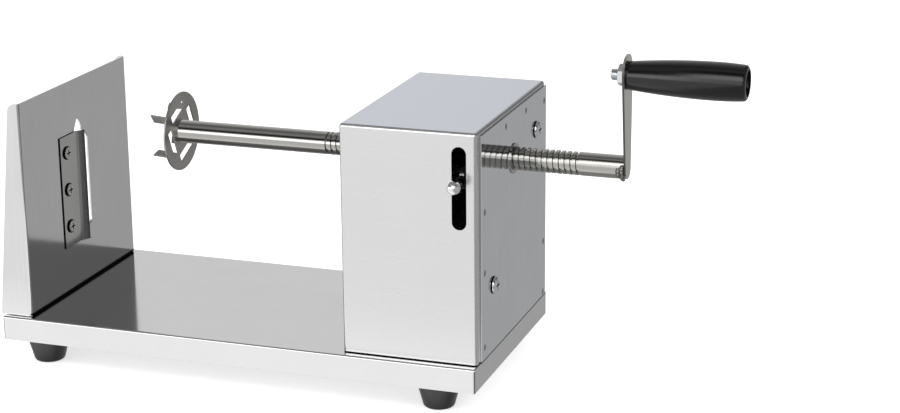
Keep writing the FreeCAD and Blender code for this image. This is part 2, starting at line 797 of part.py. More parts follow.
def bush(label, x, turn):
    """Flanged bush, snapped into a panel: flange outside at x = 0, barrel inwards along -Z."""
    body = new_body(f"{label}_body")
    outline = new_sketch(body, "XZ_Plane", "outline")
    bore = "(shaft_diameter / 2 + running_clearance)"
    barrel = "(bush_barrel_diameter / 2)"
    snap_top, snap_end = "(-panel_sheet - seat_gap)", "(-panel_sheet - seat_gap - bush_snap_width)"
    polygon(outline, [
        (bore, "bush_flange_height"), ("bush_flange_diameter / 2", "bush_flange_height"),
        ("bush_flange_diameter / 2", "0"), (barrel, "0"), (barrel, snap_top),
        (f"{barrel} + bush_snap_height", snap_top), (f"{barrel} + bush_snap_height / 2", snap_end),
        (barrel, snap_end), (barrel, "-bush_barrel_length"), (bore, "-bush_barrel_length"),
    ])
    revolve(body, outline, "Z_Axis")
    place(body, x=x, z=AXIS_Z, turn=turn)
    return piece(body, label)


# Lead screw, sleeve and fork, along the screw's own axis

def lead_screw():
    """Hollow screw: a plain spigot for the sleeve and fork, a trapezoid thread, a plain end."""
    body = new_body("screw")
    outline = new_sketch(body, "XZ_Plane", "outline")
    bore, crest = "(skewer_bore_diameter / 2)", "(shaft_diameter / 2)"
    tip = "(-sleeve_length - fork_sheet - spigot_reach)"
    end = "(thread_length + plain_length)"
    polygon(outline, [
        (tip, bore), (end, bore), (end, crest), ("0", crest),
        ("0", f"{SPIGOT_DIAMETER} / 2"), (tip, f"{SPIGOT_DIAMETER} / 2"),
    ])
    revolve(body, outline, "X_Axis")

    groove = new_sketch(body, "XZ_Plane", "groove")
    floor = f"({crest} - groove_depth)"
    past = f"({crest} + thread_end)"
    mouth_half = "(groove_mouth / 2 + (groove_mouth - groove_floor) / 2 / groove_depth * thread_end)"
    polygon(groove, [
        ("-groove_floor / 2", floor), ("groove_floor / 2", floor),
        (mouth_half, past), (f"-{mouth_half}", past),
    ])
    wind(body, groove, "thread_length")
    place(body, x=THREAD_START, z=AXIS_Z)
    return piece(body, "lead_screw")


def spacer_sleeve():
    """Plain tube that fills the stretch between the thread's shoulder and the fork."""
    body = new_body("sleeve")
    ring = new_sketch(body, "YZ_Plane", "ring")
    circle(ring, "0", "0", "shaft_diameter")
    circle(ring, "0", "0", "sleeve_bore_diameter")
    pad(body, ring, "sleeve_length - 2 * end_float")
    place(body, x=f"{FORK_FACE} + end_float", z=AXIS_Z)
    return piece(body, "spacer_sleeve")


def fork_disc():
    """Disc with four prongs lanced from it and bent towards the blade."""
    body = new_body("fork")
    round_blank = new_sketch(body, "YZ_Plane", "blank")
    circle(round_blank, "0", "0", "fork_diameter")
    circle(round_blank, "0", "0", f"{SPIGOT_DIAMETER} + 2 * seat_gap")
    pad(body, round_blank, "fork_sheet", reverse=True)

    slot = new_sketch(body, "YZ_Plane", "slot")
    low, high = "(-fork_slot_offset - fork_slot_width / 2)", "(-fork_slot_offset + fork_slot_width / 2)"
    rectangle(slot, "-fork_slot_start", low, "fork_slot_end", high)
    opening = pocket(body, slot, midplane=True)

    side = new_sketch(body, "XY_Plane", "prong", offset="-fork_slot_offset")
    near_face, far_face = "fork_slot_end", "(fork_slot_end + fork_sheet)"
    tip = "(-fork_sheet - prong_length)"
    polygon(side, [
        ("-fork_sheet / 2", near_face), ("-fork_sheet / 2", far_face),
        (tip, f"{far_face} - prong_lean"), (tip, f"{near_face} - prong_lean"),
    ])
    prong = pad(body, side, "fork_slot_width", midplane=True)

    cut = new_sketch(body, "XZ_Plane", "tip")
    polygon(cut, [
        (f"{tip} - thread_end", low), (f"{tip}", low), (f"{tip} + prong_tip_cut", high),
        (f"{tip} - thread_end", high),
    ])
    trimmed = pocket(body, cut, midplane=True)
    polar(body, [opening, prong, trimmed], "X_Axis", 4)
    place(body, x=FORK_FACE, z=AXIS_Z, turn=ABOUT_X, angle="fork_phase")
    return piece(body, "fork_disc")


# Crank and handle

def crank_arm():
    """Flat tapered bar, welded across the screw's end, with the handle bolt's hole at its head."""
    body = new_body("arm")
    bar = new_sketch(body, "YZ_Plane", "bar")
    foot_half, head_half = "(arm_foot_width / 2)", "(arm_head_width / 2)"
    head_top = "(crank_radius + arm_head_reach)"
    foot_level = f"({foot_half} - arm_foot_reach)"
    head_level = f"({head_top} - {head_half})"
    polygon(bar, [
        (f"-{foot_half}", foot_level), (foot_half, foot_level),
        (head_half, head_level), (f"-{head_half}", head_level),
    ])
    pad(body, bar, "arm_thickness")
    for name, centre, diameter in (("foot", foot_level, "arm_foot_width"),
                                   ("head", head_level, "arm_head_width")):
        end = new_sketch(body, "YZ_Plane", name)
        circle(end, "0", centre, diameter)
        pad(body, end, "arm_thickness")
    hole = new_sketch(body, "YZ_Plane", "hole")
    circle(hole, "0", "crank_radius", "handle_thread + 2 * hole_clearance")
    pocket(body, hole, midplane=True)
    place(body, x=ARM_INNER, z=AXIS_Z, turn=ABOUT_X, angle="crank_tilt")
    return piece(body, "crank_arm")


HEAD_SEAT = "(grip_length - grip_recess_depth + 2 * side_play)"


def handle_bolt():
    """Shoulder bolt that carries the grip: threaded end through the arm, head inside the grip."""
    body = new_body("shoulder_bolt")
    outline = new_sketch(body, "XZ_Plane", "outline")
    tip = "(-arm_thickness - handle_nut_height - handle_bolt_reach)"
    thread, shoulder, head = "(handle_thread / 2)", "(handle_shoulder / 2)", "(handle_head_diameter / 2)"
    head_end = f"({HEAD_SEAT} + handle_head_height)"
    polygon(outline, [
        (tip, "0"), (tip, f"{thread} - thread_end / 2"), (f"{tip} + thread_end / 2", thread),
        ("0", thread), ("0", shoulder), (HEAD_SEAT, shoulder), (HEAD_SEAT, head),
        (head_end, head), (head_end, "0"),
    ])
    revolve(body, outline, "X_Axis")
    socket = new_sketch(body, "YZ_Plane", "socket", offset=head_end)
    corner = "(handle_socket_flats / sqrt(3))"
    polygon(socket, [(f"{corner} * cos({turn})", f"{corner} * sin({turn})") for turn in range(0, 360, 60)])
    pocket(body, socket, "handle_socket_depth")
    place(body, x=ARM_OUTER, y=HANDLE_Y, z=HANDLE_Z)
    return piece(body, "handle_bolt")


def handle_grip():
    """Moulded grip, swelling towards its outer end, bored for the shoulder bolt."""
    body = new_body("grip")
    outline = new_sketch(body, "XZ_Plane", "outline")
    bore, seat = "(handle_shoulder / 2 + running_clearance)", "(grip_length - grip_recess_depth)"
    belly = "grip_belly_distance"
    polygon(outline, [
        ("0", bore), ("0", "grip_neck_diameter / 2", belly), (belly, "grip_belly_diameter / 2", belly),
        ("grip_length", "grip_end_diameter / 2"), ("grip_length", "grip_recess_diameter / 2"),
        (seat, "grip_recess_diameter / 2"), (seat, bore),
    ])
    turned = revolve(body, outline, "X_Axis")
    end, rim = number("grip_length"), number("grip_end_diameter") / 2
    fillet(body, turned, "grip_end_round",
           lambda edge: all_at(edge, "x", end) and near(edge.BoundBox.ZMax, rim))
    place(body, x=f"{ARM_OUTER} + side_play", y=HANDLE_Y, z=HANDLE_Z)
    return piece(body, "handle_grip")


# Release lever: y and z are counted from the screw's axis

def lever_arm():
    """Flat lever from its pivot at the back, over the screw, to the slot in the front."""
    body = new_body("lever")
    outline = new_sketch(body, "YZ_Plane", "outline")
    half_nut_width = "(nut_width / 2)"
    boss = "(lever_boss_diameter / 2)"
    polygon(outline, [
        (f"-{LEVER_TAB}", "-lever_tab_bottom"), (f"-{half_nut_width}", "nut_bottom"),
        (half_nut_width, "nut_bottom"), ("pivot_back", f"pivot_rise - {boss}"),
        ("pivot_back", f"pivot_rise + {boss}"), (half_nut_width, "lever_top"),
        (f"-{half_nut_width}", "lever_top"), (f"-{LEVER_TAB}", "lever_tab_top"),
    ])
    blank = pad(body, outline, "lever_sheet", midplane=True)
    front = -number(LEVER_TAB)
    fillet(body, blank, "lever_tab_round", lambda edge: runs_along(edge, "x") and all_at(edge, "y", front))
    eye = new_sketch(body, "YZ_Plane", "eye")
    circle(eye, "pivot_back", "pivot_rise", "lever_boss_diameter")
    pad(body, eye, "lever_sheet", midplane=True)
    holes = new_sketch(body, "YZ_Plane", "holes")
    circle(holes, "0", "0", "shaft_diameter + 2 * arch_clearance")
    circle(holes, "pivot_back", "pivot_rise", "pivot_bush_diameter + 2 * seat_gap")
    circle(holes, "-spring_front", HOOK_HOLE_Z, "hook_hole_diameter")
    for side in ("-", ""):
        circle(holes, f"{side}nut_screw_spread", "nut_screw_rise", "small_screw + 2 * hole_clearance")
    pocket(body, holes, midplane=True)
    place(body, x=LEVER_MIDDLE, z=AXIS_Z)
    return piece(body, "lever_arm")


def pivot_bush():
    body = new_body("pivot_bush_body")
    ring = new_sketch(body, "YZ_Plane", "ring")
    circle(ring, "0", "0", "pivot_bush_diameter")
    circle(ring, "0", "0", "large_bolt + 2 * running_clearance")
    pad(body, ring, "pivot_bush_length")
    place(body, x=PIVOT_BUSH_LEFT, y="pivot_back", z=f"{AXIS_Z} + pivot_rise")
    return piece(body, "lever_pivot_bush")


def half_nut():
    """Block whose underside is tapped with the screw's own thread, with clearance all round."""
    body = new_body("nut")
    outline = new_sketch(body, "YZ_Plane", "outline")
    rectangle(outline, "-nut_width / 2", "nut_bottom", "nut_width / 2", "nut_top")
    for side in ("-", ""):
        circle(outline, f"{side}nut_screw_spread", "nut_screw_rise", "small_screw + 2 * thread_clearance")
    pad(body, outline, "nut_length")
    root = "(shaft_diameter / 2 - groove_depth + mesh_clearance)"
    bore = new_sketch(body, "YZ_Plane", "bore")
    circle(bore, "0", "0", f"2 * {root}")
    pocket(body, bore, midplane=True)

    ridge = new_sketch(body, "XZ_Plane", "ridge")
    before = f"(floor(({NUT_LEFT} - {THREAD_START}) / thread_pitch) - 1.5)"
    middle = f"({THREAD_START} + {before} * thread_pitch - {NUT_LEFT})"
    low, high = f"({root} - mesh_clearance)", "(shaft_diameter / 2 + mesh_clearance)"
    flank = f"((groove_mouth - groove_floor) / 2 / ({high} - {root}))"
    crest_half = "((thread_pitch - groove_mouth) / 2 + mesh_clearance)"
    base_half = f"({crest_half} + {flank} * ({high} - {low}))"
    polygon(ridge, [
        (f"{middle} - {base_half}", low), (f"{middle} + {base_half}", low),
        (f"{middle} + {crest_half}", high), (f"{middle} - {crest_half}", high),
    ])
    wind(body, ridge, "nut_length + 4 * thread_pitch")
    place(body, x=NUT_LEFT, z=AXIS_Z)
    return piece(body, "half_nut")


STUD_END = "(box_depth / 2 + knob_reach - knob_diameter / 2 + stud_in_ball)"


def knob_stud():
    """Round stud on the lever's front tab, with a collar that bears on the tab."""
    turn = FreeCAD.Rotation(FreeCAD.Vector(1, 0, 0), 90)
    rod = bind(doc.addObject("Part::Cylinder", "stud_rod"), Radius="stud_diameter / 2",
               Height=f"{STUD_END} - {LEVER_TAB} - seat_gap")
    collar = bind(doc.addObject("Part::Cylinder", "stud_collar"), Radius="stud_collar_diameter / 2",
                  Height="stud_collar_length")
    for item in (rod, collar):
        place(item, x=LEVER_MIDDLE, y=f"-{LEVER_TAB} - seat_gap", z=f"{AXIS_Z} + knob_rise", turn=turn)
    stud = doc.addObject("Part::Fuse", "stud")
    stud.Base = rod
    stud.Tool = collar
    doc.recompute()
    return piece(stud, "knob_stud")


def lever_knob():
    """Ball knob with a tapered neck, bored for the stud."""
    turn = FreeCAD.Rotation(FreeCAD.Vector(1, 0, 0), -90)
    centre = {"x": LEVER_MIDDLE, "y": "-box_depth / 2 - knob_reach", "z": f"{AXIS_Z} + knob_rise"}
    ball = place(bind(doc.addObject("Part::Sphere", "ball"), Radius="knob_diameter / 2"), **centre)
    neck = bind(doc.addObject("Part::Cone", "neck"), Radius1="knob_diameter / 2",
                Radius2="knob_neck_diameter / 2", Height="knob_neck_length")
    place(neck, **centre, turn=turn)
    bore = bind(doc.addObject("Part::Cylinder", "knob_bore"),
                Radius="stud_diameter / 2 + thread_clearance", Height="knob_bore_depth")
    centre["y"] = f"-{STUD_END} - seat_gap"
    place(bore, **centre, turn=turn)
    solid = doc.addObject("Part::Fuse", "knob_solid")
    solid.Base = ball
    solid.Tool = neck
    knob = doc.addObject("Part::Cut", "knob")
    knob.Base = solid
    knob.Tool = bore
    doc.recompute()
    return piece(knob, "lever_knob")


def release_spring():
    """Tension spring between the lower bolt and the lever, with a half hook at each end."""
    radius, wire = "(spring_mean_diameter / 2)", "(spring_wire / 2)"
    bolt_z = SPRING_BOLT_Z
    hook_centre = f"({bolt_z} - large_bolt / 2 - seat_gap - {wire} + {radius})"
    coil_low = f"({bolt_z} + spring_leg)"
    crown = f"({AXIS_Z} + {HOOK_CROWN_Z})"
    coil_high = f"({crown} - {radius})"

    coil = new_body("coil")
    wire_ring = new_sketch(coil, "XZ_Plane", "wire")
    circle(wire_ring, radius, "0", "spring_wire")
    doc.recompute()
    helix = coil.newObject("PartDesign::AdditiveHelix", "coil_helix")
    helix.Profile = wire_ring
    helix.ReferenceAxis = (origin_item(coil, "Z_Axis"), [""])
    helix.Mode = "height-turns-angle"
    bind(helix, Height=f"{coil_high} - {coil_low}", Turns="spring_turns")
    place(coil, LEVER_MIDDLE, "-spring_front", coil_low, turn=FreeCAD.Rotation(FreeCAD.Vector(0, 0, 1), 90))

    parts = [coil]

    def hook(name, z, turn):
        ring = bind(doc.addObject("Part::Torus", name), Radius1=radius, Radius2=wire)
        ring.Angle3 = 180
        parts.append(place(ring, LEVER_MIDDLE, "-spring_front", z, turn=turn))

    def rod(name, x, y, low, high):
        leg = bind(doc.addObject("Part::Cylinder", name), Radius=wire, Height=f"({high}) - ({low})")
        parts.append(place(leg, x, y, low))

    hook("lower_hook", hook_centre, FreeCAD.Rotation(FreeCAD.Vector(0, 1, 0), -90)
         * FreeCAD.Rotation(FreeCAD.Vector(0, 0, 1), 90))
    hook("upper_hook", coil_high, FreeCAD.Rotation(FreeCAD.Vector(1, 0, 0), 90))
    rod("long_leg", LEVER_MIDDLE, f"-spring_front + {radius}", hook_centre, coil_low)
    rod("short_leg", LEVER_MIDDLE, f"-spring_front - {radius}", hook_centre,
        f"{hook_centre} + spring_leg / 3")
    spring = doc.addObject("Part::MultiFuse", "spring")
    spring.Shapes = parts
    doc.recompute()
    return piece(spring, "release_spring")


# Build every piece

base_tray()
for corner, (foot_x, foot_y) in FOOT_SPOTS.items():
    foot(corner, foot_x, foot_y)
blade_plate()
blade()
box_cover()
side_panel("left_side_panel", BOX_LEFT, [])
side_panel("right_side_panel", PANEL_INNER,
           [("pivot_back", "axis_height + pivot_rise"), ("-spring_front", "spring_bolt_height")])
bush("left_bush", BOX_LEFT, TURN_Z_TO_MINUS_X)
bush("right_bush", BOX_RIGHT, TURN_Z_TO_X)
lead_screw()
spacer_sleeve()
fork_disc()
crank_arm()
handle_bolt()
handle_grip()
lever_arm()
pivot_bush()
half_nut()
knob_stud()
lever_knob()
release_spring()

foot_xy = list(FOOT_SPOTS.values())
foot_seat = "foot_recess_depth - medium_washer_height"
foot_nut_z = "foot_height + base_sheet"
foot_screw = pan_screw("foot_screw_master", "medium_screw", "medium_head_diameter",
                       "medium_head_height",
                       f"{foot_nut_z} + medium_nut_height + thread_end - ({foot_seat})")
copies("foot_screws", foot_screw, [(x, y, foot_seat) for x, y in foot_xy], TURN_OVER)
medium_washer = washer("medium_washer_master", "medium_screw", "medium_washer_diameter",
                       "medium_washer_height")
copies("foot_washers", medium_washer, [(x, y, foot_seat) for x, y in foot_xy])
medium_nut = hex_nut("medium_nut_master", "medium_screw", "medium_nut_flats", "medium_nut_height")
copies("foot_nuts", medium_nut, [(x, y, foot_nut_z) for x, y in foot_xy])

blade_screw = pan_screw("blade_screw_master", "medium_screw", "medium_head_diameter",
                        "medium_low_head_height",
                        "blade_thickness + plate_sheet + medium_nut_height + thread_end")
blade_screw_y = "blade_screw_inset - blade_flat - blade_bend_offset"
blade_screw_zs = [f"{BASE_TOP} + blade_screw_height + {step} blade_screw_pitch"
                  for step in ("-", "0 *", "")]
copies("blade_screws", blade_screw,
       [(f"{PLATE_FACE} + blade_thickness", blade_screw_y, z) for z in blade_screw_zs], TURN_Z_TO_X)
copies("blade_nuts", medium_nut,
       [(f"{PLATE_FACE} - plate_sheet", blade_screw_y, z) for z in blade_screw_zs], TURN_Z_TO_MINUS_X)

plate_screw = pan_screw("plate_screw_master", "small_screw", "small_head_diameter", "small_head_height",
                        "plate_sheet + base_sheet + small_nut_height + thread_end")
copies("plate_screws", plate_screw,
       [(x, y, f"{BASE_TOP} + plate_sheet") for x, y in PLATE_SCREW_SPOTS])
small_nut = hex_nut("small_nut_master", "small_screw", "small_nut_flats", "small_nut_height")
copies("plate_nuts", small_nut,
       [(x, y, f"{BASE_TOP} - base_sheet - small_nut_height") for x, y in PLATE_SCREW_SPOTS])

box_screw = pan_screw("box_screw_master", "small_screw", "small_head_diameter", "small_head_height",
                      "box_sheet + base_sheet + small_nut_height + thread_end")
copies("box_screws", box_screw,
       [(x, y, f"{BASE_TOP} - base_sheet") for x, y in BOX_SCREW_SPOTS], TURN_OVER)
copies("box_nuts", small_nut, [(x, y, f"{BASE_TOP} + box_sheet") for x, y in BOX_SCREW_SPOTS])

nut_screw = pan_screw("nut_screw_master", "small_screw", "small_head_diameter", "small_head_height",
                      "lever_sheet + nut_length - thread_end")
nut_screw_z = f"{AXIS_Z} + nut_screw_rise"
copies("half_nut_screws", nut_screw,
       [(LEVER_RIGHT, f"{side}nut_screw_spread", nut_screw_z) for side in ("-", "")], TURN_Z_TO_X)

pivot_z = f"{AXIS_Z} + pivot_rise"
pivot_bolt = pan_screw("pivot_bolt_master", "large_bolt", "large_head_diameter", "large_head_height",
                       f"{BOX_RIGHT} - {PIVOT_WASHER_LEFT} + large_nut_height + thread_end")
copies("pivot_bolt", pivot_bolt, [(BOX_RIGHT, "pivot_back", pivot_z)], TURN_Z_TO_X)
large_nut = hex_nut("large_nut_master", "large_bolt", "large_nut_flats", "large_nut_height")
copies("pivot_nuts", large_nut,
       [(JAM_NUT_LEFT, "pivot_back", pivot_z),
        (f"{PIVOT_WASHER_LEFT} - large_nut_height", "pivot_back", pivot_z)], TURN_Z_TO_X)
large_washer = washer("large_washer_master", "large_bolt", "large_washer_diameter", "large_washer_height")
copies("pivot_washer", large_washer, [(PIVOT_WASHER_LEFT, "pivot_back", pivot_z)], TURN_Z_TO_X)

spring_bolt = pan_screw("spring_bolt_master", "large_bolt", "large_head_diameter", "large_head_height",
                        f"{BOX_RIGHT} - {SPRING_NUT_RIGHT} + large_nut_height + thread_end")
copies("spring_bolt", spring_bolt, [(BOX_RIGHT, "-spring_front", SPRING_BOLT_Z)], TURN_Z_TO_X)
copies("spring_bolt_nuts", large_nut,
       [(JAM_NUT_LEFT, "-spring_front", SPRING_BOLT_Z),
        (f"{SPRING_NUT_RIGHT} - large_nut_height", "-spring_front", SPRING_BOLT_Z)], TURN_Z_TO_X)

handle_nut = hex_nut("handle_nut_master", "handle_thread", "handle_nut_flats", "handle_nut_height")
copies("handle_nut", handle_nut, [(f"{ARM_INNER} - handle_nut_height", HANDLE_Y, HANDLE_Z)], TURN_Z_TO_X)

doc.recompute()
for item in doc.Objects:
    if "Invalid" in item.State or "Error" in item.State:
        raise RuntimeError(f"{item.Name} failed: {item.State}")
for item in exported:
    if item.Shape.isNull() or not item.Shape.isValid():
        raise RuntimeError(f"{item.Label} has no valid shape")

os.makedirs("parts", exist_ok=True)
for item in exported:
    item.Shape.exportStep(f"parts/{item.Label}.step")
    print(item.Label, len(item.Shape.Solids), round(item.Shape.Volume, 1))
print(len(exported), "nodes")
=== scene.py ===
"""Finishes, small fittings and studio for a hand cranked spiral potato cutter."""
import json
from math import cos, pi, radians, sin, tau

import bmesh
import bpy
from bpy.props import FloatProperty, FloatVectorProperty, IntProperty, PointerProperty
from mathutils import Matrix, Vector


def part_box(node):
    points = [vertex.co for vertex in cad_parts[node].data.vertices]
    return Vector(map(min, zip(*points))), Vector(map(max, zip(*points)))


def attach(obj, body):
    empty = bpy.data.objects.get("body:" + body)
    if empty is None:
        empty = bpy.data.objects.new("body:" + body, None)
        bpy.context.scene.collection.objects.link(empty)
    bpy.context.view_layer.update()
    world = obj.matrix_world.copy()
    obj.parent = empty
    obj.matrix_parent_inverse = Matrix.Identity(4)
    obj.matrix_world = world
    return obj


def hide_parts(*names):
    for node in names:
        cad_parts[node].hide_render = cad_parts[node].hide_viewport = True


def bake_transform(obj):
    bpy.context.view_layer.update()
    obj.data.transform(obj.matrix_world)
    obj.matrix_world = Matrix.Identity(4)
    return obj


bl_info = {
    "name": "Spiral potato cutter",
    "version": (1, 0, 0),
    "blender": (4, 5, 0),
    "location": "View3D > Sidebar > Potato cutter",
    "description": "Finishes, fittings and studio for a hand cranked spiral potato cutter",
    "category": "Object",
}

MM = 0.001
IMAGE_WIDTH = 900
FOCAL_PIXELS = 2122.965
SENSOR_WIDTH = 36
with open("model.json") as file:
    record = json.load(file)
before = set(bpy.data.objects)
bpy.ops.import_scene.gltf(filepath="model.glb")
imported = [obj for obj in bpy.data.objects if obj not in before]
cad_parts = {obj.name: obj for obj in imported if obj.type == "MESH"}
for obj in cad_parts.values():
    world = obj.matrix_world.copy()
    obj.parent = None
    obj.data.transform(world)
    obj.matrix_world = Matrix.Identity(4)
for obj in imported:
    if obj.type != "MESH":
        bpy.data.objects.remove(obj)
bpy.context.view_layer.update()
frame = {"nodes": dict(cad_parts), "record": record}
TRAY_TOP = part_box("base_tray")[1].z


def to_linear(code):
    """An sRGB hex colour as linear red, green, blue and alpha."""
    values = [int(code[start:start + 2], 16) / 255 for start in (1, 3, 5)]
    curve = [v / 12.92 if v <= 0.04045 else ((v + 0.055) / 1.055) ** 2.4 for v in values]
    return (*curve, 1.0)


def colour(label, description, code):
    return FloatVectorProperty(name=label, description=description, subtype="COLOR", size=4,
                               min=0, max=1, default=to_linear(code))


def length(label, description, millimetres):
    return FloatProperty(name=label, description=description, subtype="DISTANCE", unit="LENGTH",
                         min=0, default=millimetres * MM)


class CutterFinishes(bpy.types.PropertyGroup):
    """Colours of the cutter's finishes."""

    sheet_steel: colour("Sheet steel", "Polished stainless sheet of the tray, cover and plate", "#d6d6d6")
    panel_steel: colour("Panel steel", "Brushed stainless sheet of the side panels", "#d5d7da")
    blade_steel: colour("Blade steel", "Ground blade strip", "#bdbdba")
    turned_steel: colour("Turned steel", "Polished spacer sleeve", "#a8a7a3")
    screw_steel: colour("Screw steel", "Lead screw and its bushes, greyed by use", "#a9a8a3")
    bar_steel: colour("Bar steel", "Crank arm", "#d0cfca")
    # Painted shade: near black for the stud, which reads as shaded inside the slot.
    oxide: colour("Black oxide", "Lever's stud inside the box", "#1b1b1c")
    zinc: colour("Zinc plating", "Nuts, bolts and screws", "#d8dadc")
    chrome: colour("Chrome", "Lever's ball knob", "#e2e2e2")
    lever_steel: colour("Lever steel", "Cold rolled lever inside the box", "#a5a4a0")
    wire_steel: colour("Spring wire", "Drawn spring wire", "#8f8e8b")
    brass: colour("Brass", "Half nut and pivot bush", "#cdaa66")
    weld_steel: colour("Weld metal", "Weld bead and spot welds", "#8b8984")
    fork_steel: colour("Fork steel", "Tumbled fork disc and its prongs", "#a9a7a3")
    screw_zinc: colour("Screw zinc", "Dulled zinc of the blade's screws", "#c6c5c2")
    # Painted shade: near black laid where shade and dark reflections fall, in the tray's seams, under the
    # cover and the panels, at the plate's foot, round screw heads and along the blade's edges.
    painted_shade: colour("Crevice", "Dark oil and dust in corners, recesses and cut edges", "#0a0a0a")
    grip_black: colour("Grip", "Glossy black plastic of the handle", "#0c0c0d")
    rubber: colour("Rubber", "Black rubber feet", "#161616")


class CutterFittings(bpy.types.PropertyGroup):
    """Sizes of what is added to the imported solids."""

    edge_break: length("Edge break", "Rounding of the sheets' sheared edges", 0.18)
    spot_diameter: length("Spot weld", "Diameter of a spot weld's mark", 4.6)
    spot_height: length("Spot weld height", "How far a spot weld's mark stands proud", 0.16)
    bead_size: length("Weld bead", "Radius of one ripple of the crank's weld", 2.0)
    bolt_pitch: length("Bolt pitch", "Thread pitch of the handle bolt", 1.25)
    thread_segments: IntProperty(
        name="Thread segments", description="Steps in one turn of a bolt's thread", min=8, default=40)


class CutterStudio(bpy.types.PropertyGroup):
    """Camera and light levels."""

    lens: FloatProperty(name="Lens", description="Focal length on a 36 mm sensor", unit="CAMERA",
                        default=SENSOR_WIDTH * FOCAL_PIXELS / IMAGE_WIDTH)
    camera_place: FloatVectorProperty(name="Camera", description="Place of the camera", unit="LENGTH",
                                      default=(0.583370, -1.326674, 0.541156))
    camera_yaw: FloatProperty(name="Yaw", description="Camera's turn to the left", subtype="ANGLE",
                              default=radians(18.809229903))
    camera_pitch: FloatProperty(name="Pitch", description="Camera's downward tilt", subtype="ANGLE",
                                default=radians(16.731458554))
    camera_roll: FloatProperty(name="Roll", description="Camera's roll", subtype="ANGLE",
                               default=radians(-0.430562059))
    ambient: FloatProperty(name="Ambient", description="Level of the even light on the object", default=0.62)
    key: FloatProperty(name="Key", description="Power of the main softbox in watts", default=16)
    fill: FloatProperty(name="Fill", description="Power of the fill softbox in watts", default=6)


# Materials

def start_material(name):
    material = bpy.data.materials.new(name)
    material.use_nodes = True
    return material, material.node_tree, material.node_tree.nodes["Principled BSDF"]


def add_node(tree, kind, sockets=None, **settings):
    """Add a node with its settings, its socket values and what feeds it."""
    node = tree.nodes.new(kind)
    for name, value in settings.items():
        setattr(node, name, value)
    for name, value in (sockets or {}).items():
        if isinstance(value, bpy.types.NodeSocket):
            tree.links.new(value, node.inputs[name])
        else:
            node.inputs[name].default_value = value
    return node


def shade(tint, amount):
    """A colour made lighter or darker by a factor."""
    return (*(min(1.0, part * amount) for part in tint[:3]), 1.0)


def stretched_noise(tree, grain, along="", detail=3.0):
    """Noise of a real grain size in metres, drawn out fifty times along an axis."""
    scale = [1 / grain] * 3
    for axis in along:
        scale["XYZ".index(axis)] /= 50
    place = add_node(tree, "ShaderNodeTexCoord").outputs["Object"]
    mapping = add_node(tree, "ShaderNodeMapping", {"Vector": place, "Scale": scale})
    noise = add_node(tree, "ShaderNodeTexNoise", {
        "Vector": mapping.outputs["Vector"], "Scale": 1.0, "Detail": detail, "Roughness": 0.55})
    return noise.outputs["Fac"]


def metal(name, tint, roughness, grain, along, depth, contrast=0.06, spread=0.05, cloud=35 * MM):
    """Metal with strokes along an axis: their spacing, their depth, and how far they vary the tone."""
    material, tree, shader = start_material(name)
    strokes = stretched_noise(tree, grain, along)
    clouds = stretched_noise(tree, cloud, detail=2.0)
    both = add_node(tree, "ShaderNodeMath", {0: strokes, 1: clouds}, operation="ADD")
    tone = add_node(tree, "ShaderNodeMapRange", {
        "Value": both.outputs["Value"], "From Min": 0.7, "From Max": 1.3, "To Min": 0.0, "To Max": 1.0})
    hue = add_node(tree, "ShaderNodeMix", {
        0: tone.outputs["Result"], 6: shade(tint, 1 - contrast), 7: shade(tint, 1 + contrast)},
        data_type="RGBA")
    gloss = add_node(tree, "ShaderNodeMapRange", {
        "Value": strokes, "From Min": 0.3, "From Max": 0.7,
        "To Min": roughness - spread, "To Max": roughness + spread})
    relief = add_node(tree, "ShaderNodeBump", {"Height": strokes, "Distance": depth, "Strength": 1.0})
    shader.inputs["Metallic"].default_value = 1.0
    for socket, source in (("Base Color", hue.outputs[2]), ("Roughness", gloss.outputs["Result"]),
                           ("Normal", relief.outputs["Normal"])):
        tree.links.new(source, shader.inputs[socket])
    return material


def reached(tree, value, start, stop):
    """One where a value has reached stop, nothing where it hasn't reached start."""
    node = add_node(tree, "ShaderNodeMapRange", {
        "Value": value, "From Min": start, "From Max": stop, "To Min": 0.0, "To Max": 1.0})
    return node.outputs["Result"]


def combine(tree, operation, values):
    """Fold sockets into one, two at a time."""
    total = values[0]
    for value in values[1:]:
        total = add_node(tree, "ShaderNodeMath", {0: total, 1: value}, operation=operation).outputs[0]
    return total


def stain(material, tint, where, roughness=0.6):
    """Blend a finish into another tint and roughness where a factor, made by a function, rises to one."""
    tree = material.node_tree
    shader = tree.nodes["Principled BSDF"]
    place = add_node(tree, "ShaderNodeTexCoord").outputs["Object"]
    axes = add_node(tree, "ShaderNodeSeparateXYZ", {0: place}).outputs
    factor = where(tree, axes)
    for socket, other in (("Base Color", tint), ("Roughness", (roughness, roughness, roughness, 1))):
        source = shader.inputs[socket].links[0].from_socket
        mixed = add_node(tree, "ShaderNodeMix", {0: factor, 6: source, 7: other}, data_type="RGBA")
        tree.links.new(mixed.outputs[2], shader.inputs[socket])
    return material


def plate_foot_shade(tree, axes):
    """The foot of the plate's face, down in the corner with the tray, where shade is painted."""
    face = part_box("blade_plate")[1].x
    return combine(tree, "MULTIPLY", [reached(tree, axes["Z"], TRAY_TOP + 2.9 * MM, TRAY_TOP + 1.8 * MM),
                                      reached(tree, axes["X"], face - 1.2 * MM, face - 0.6 * MM)])


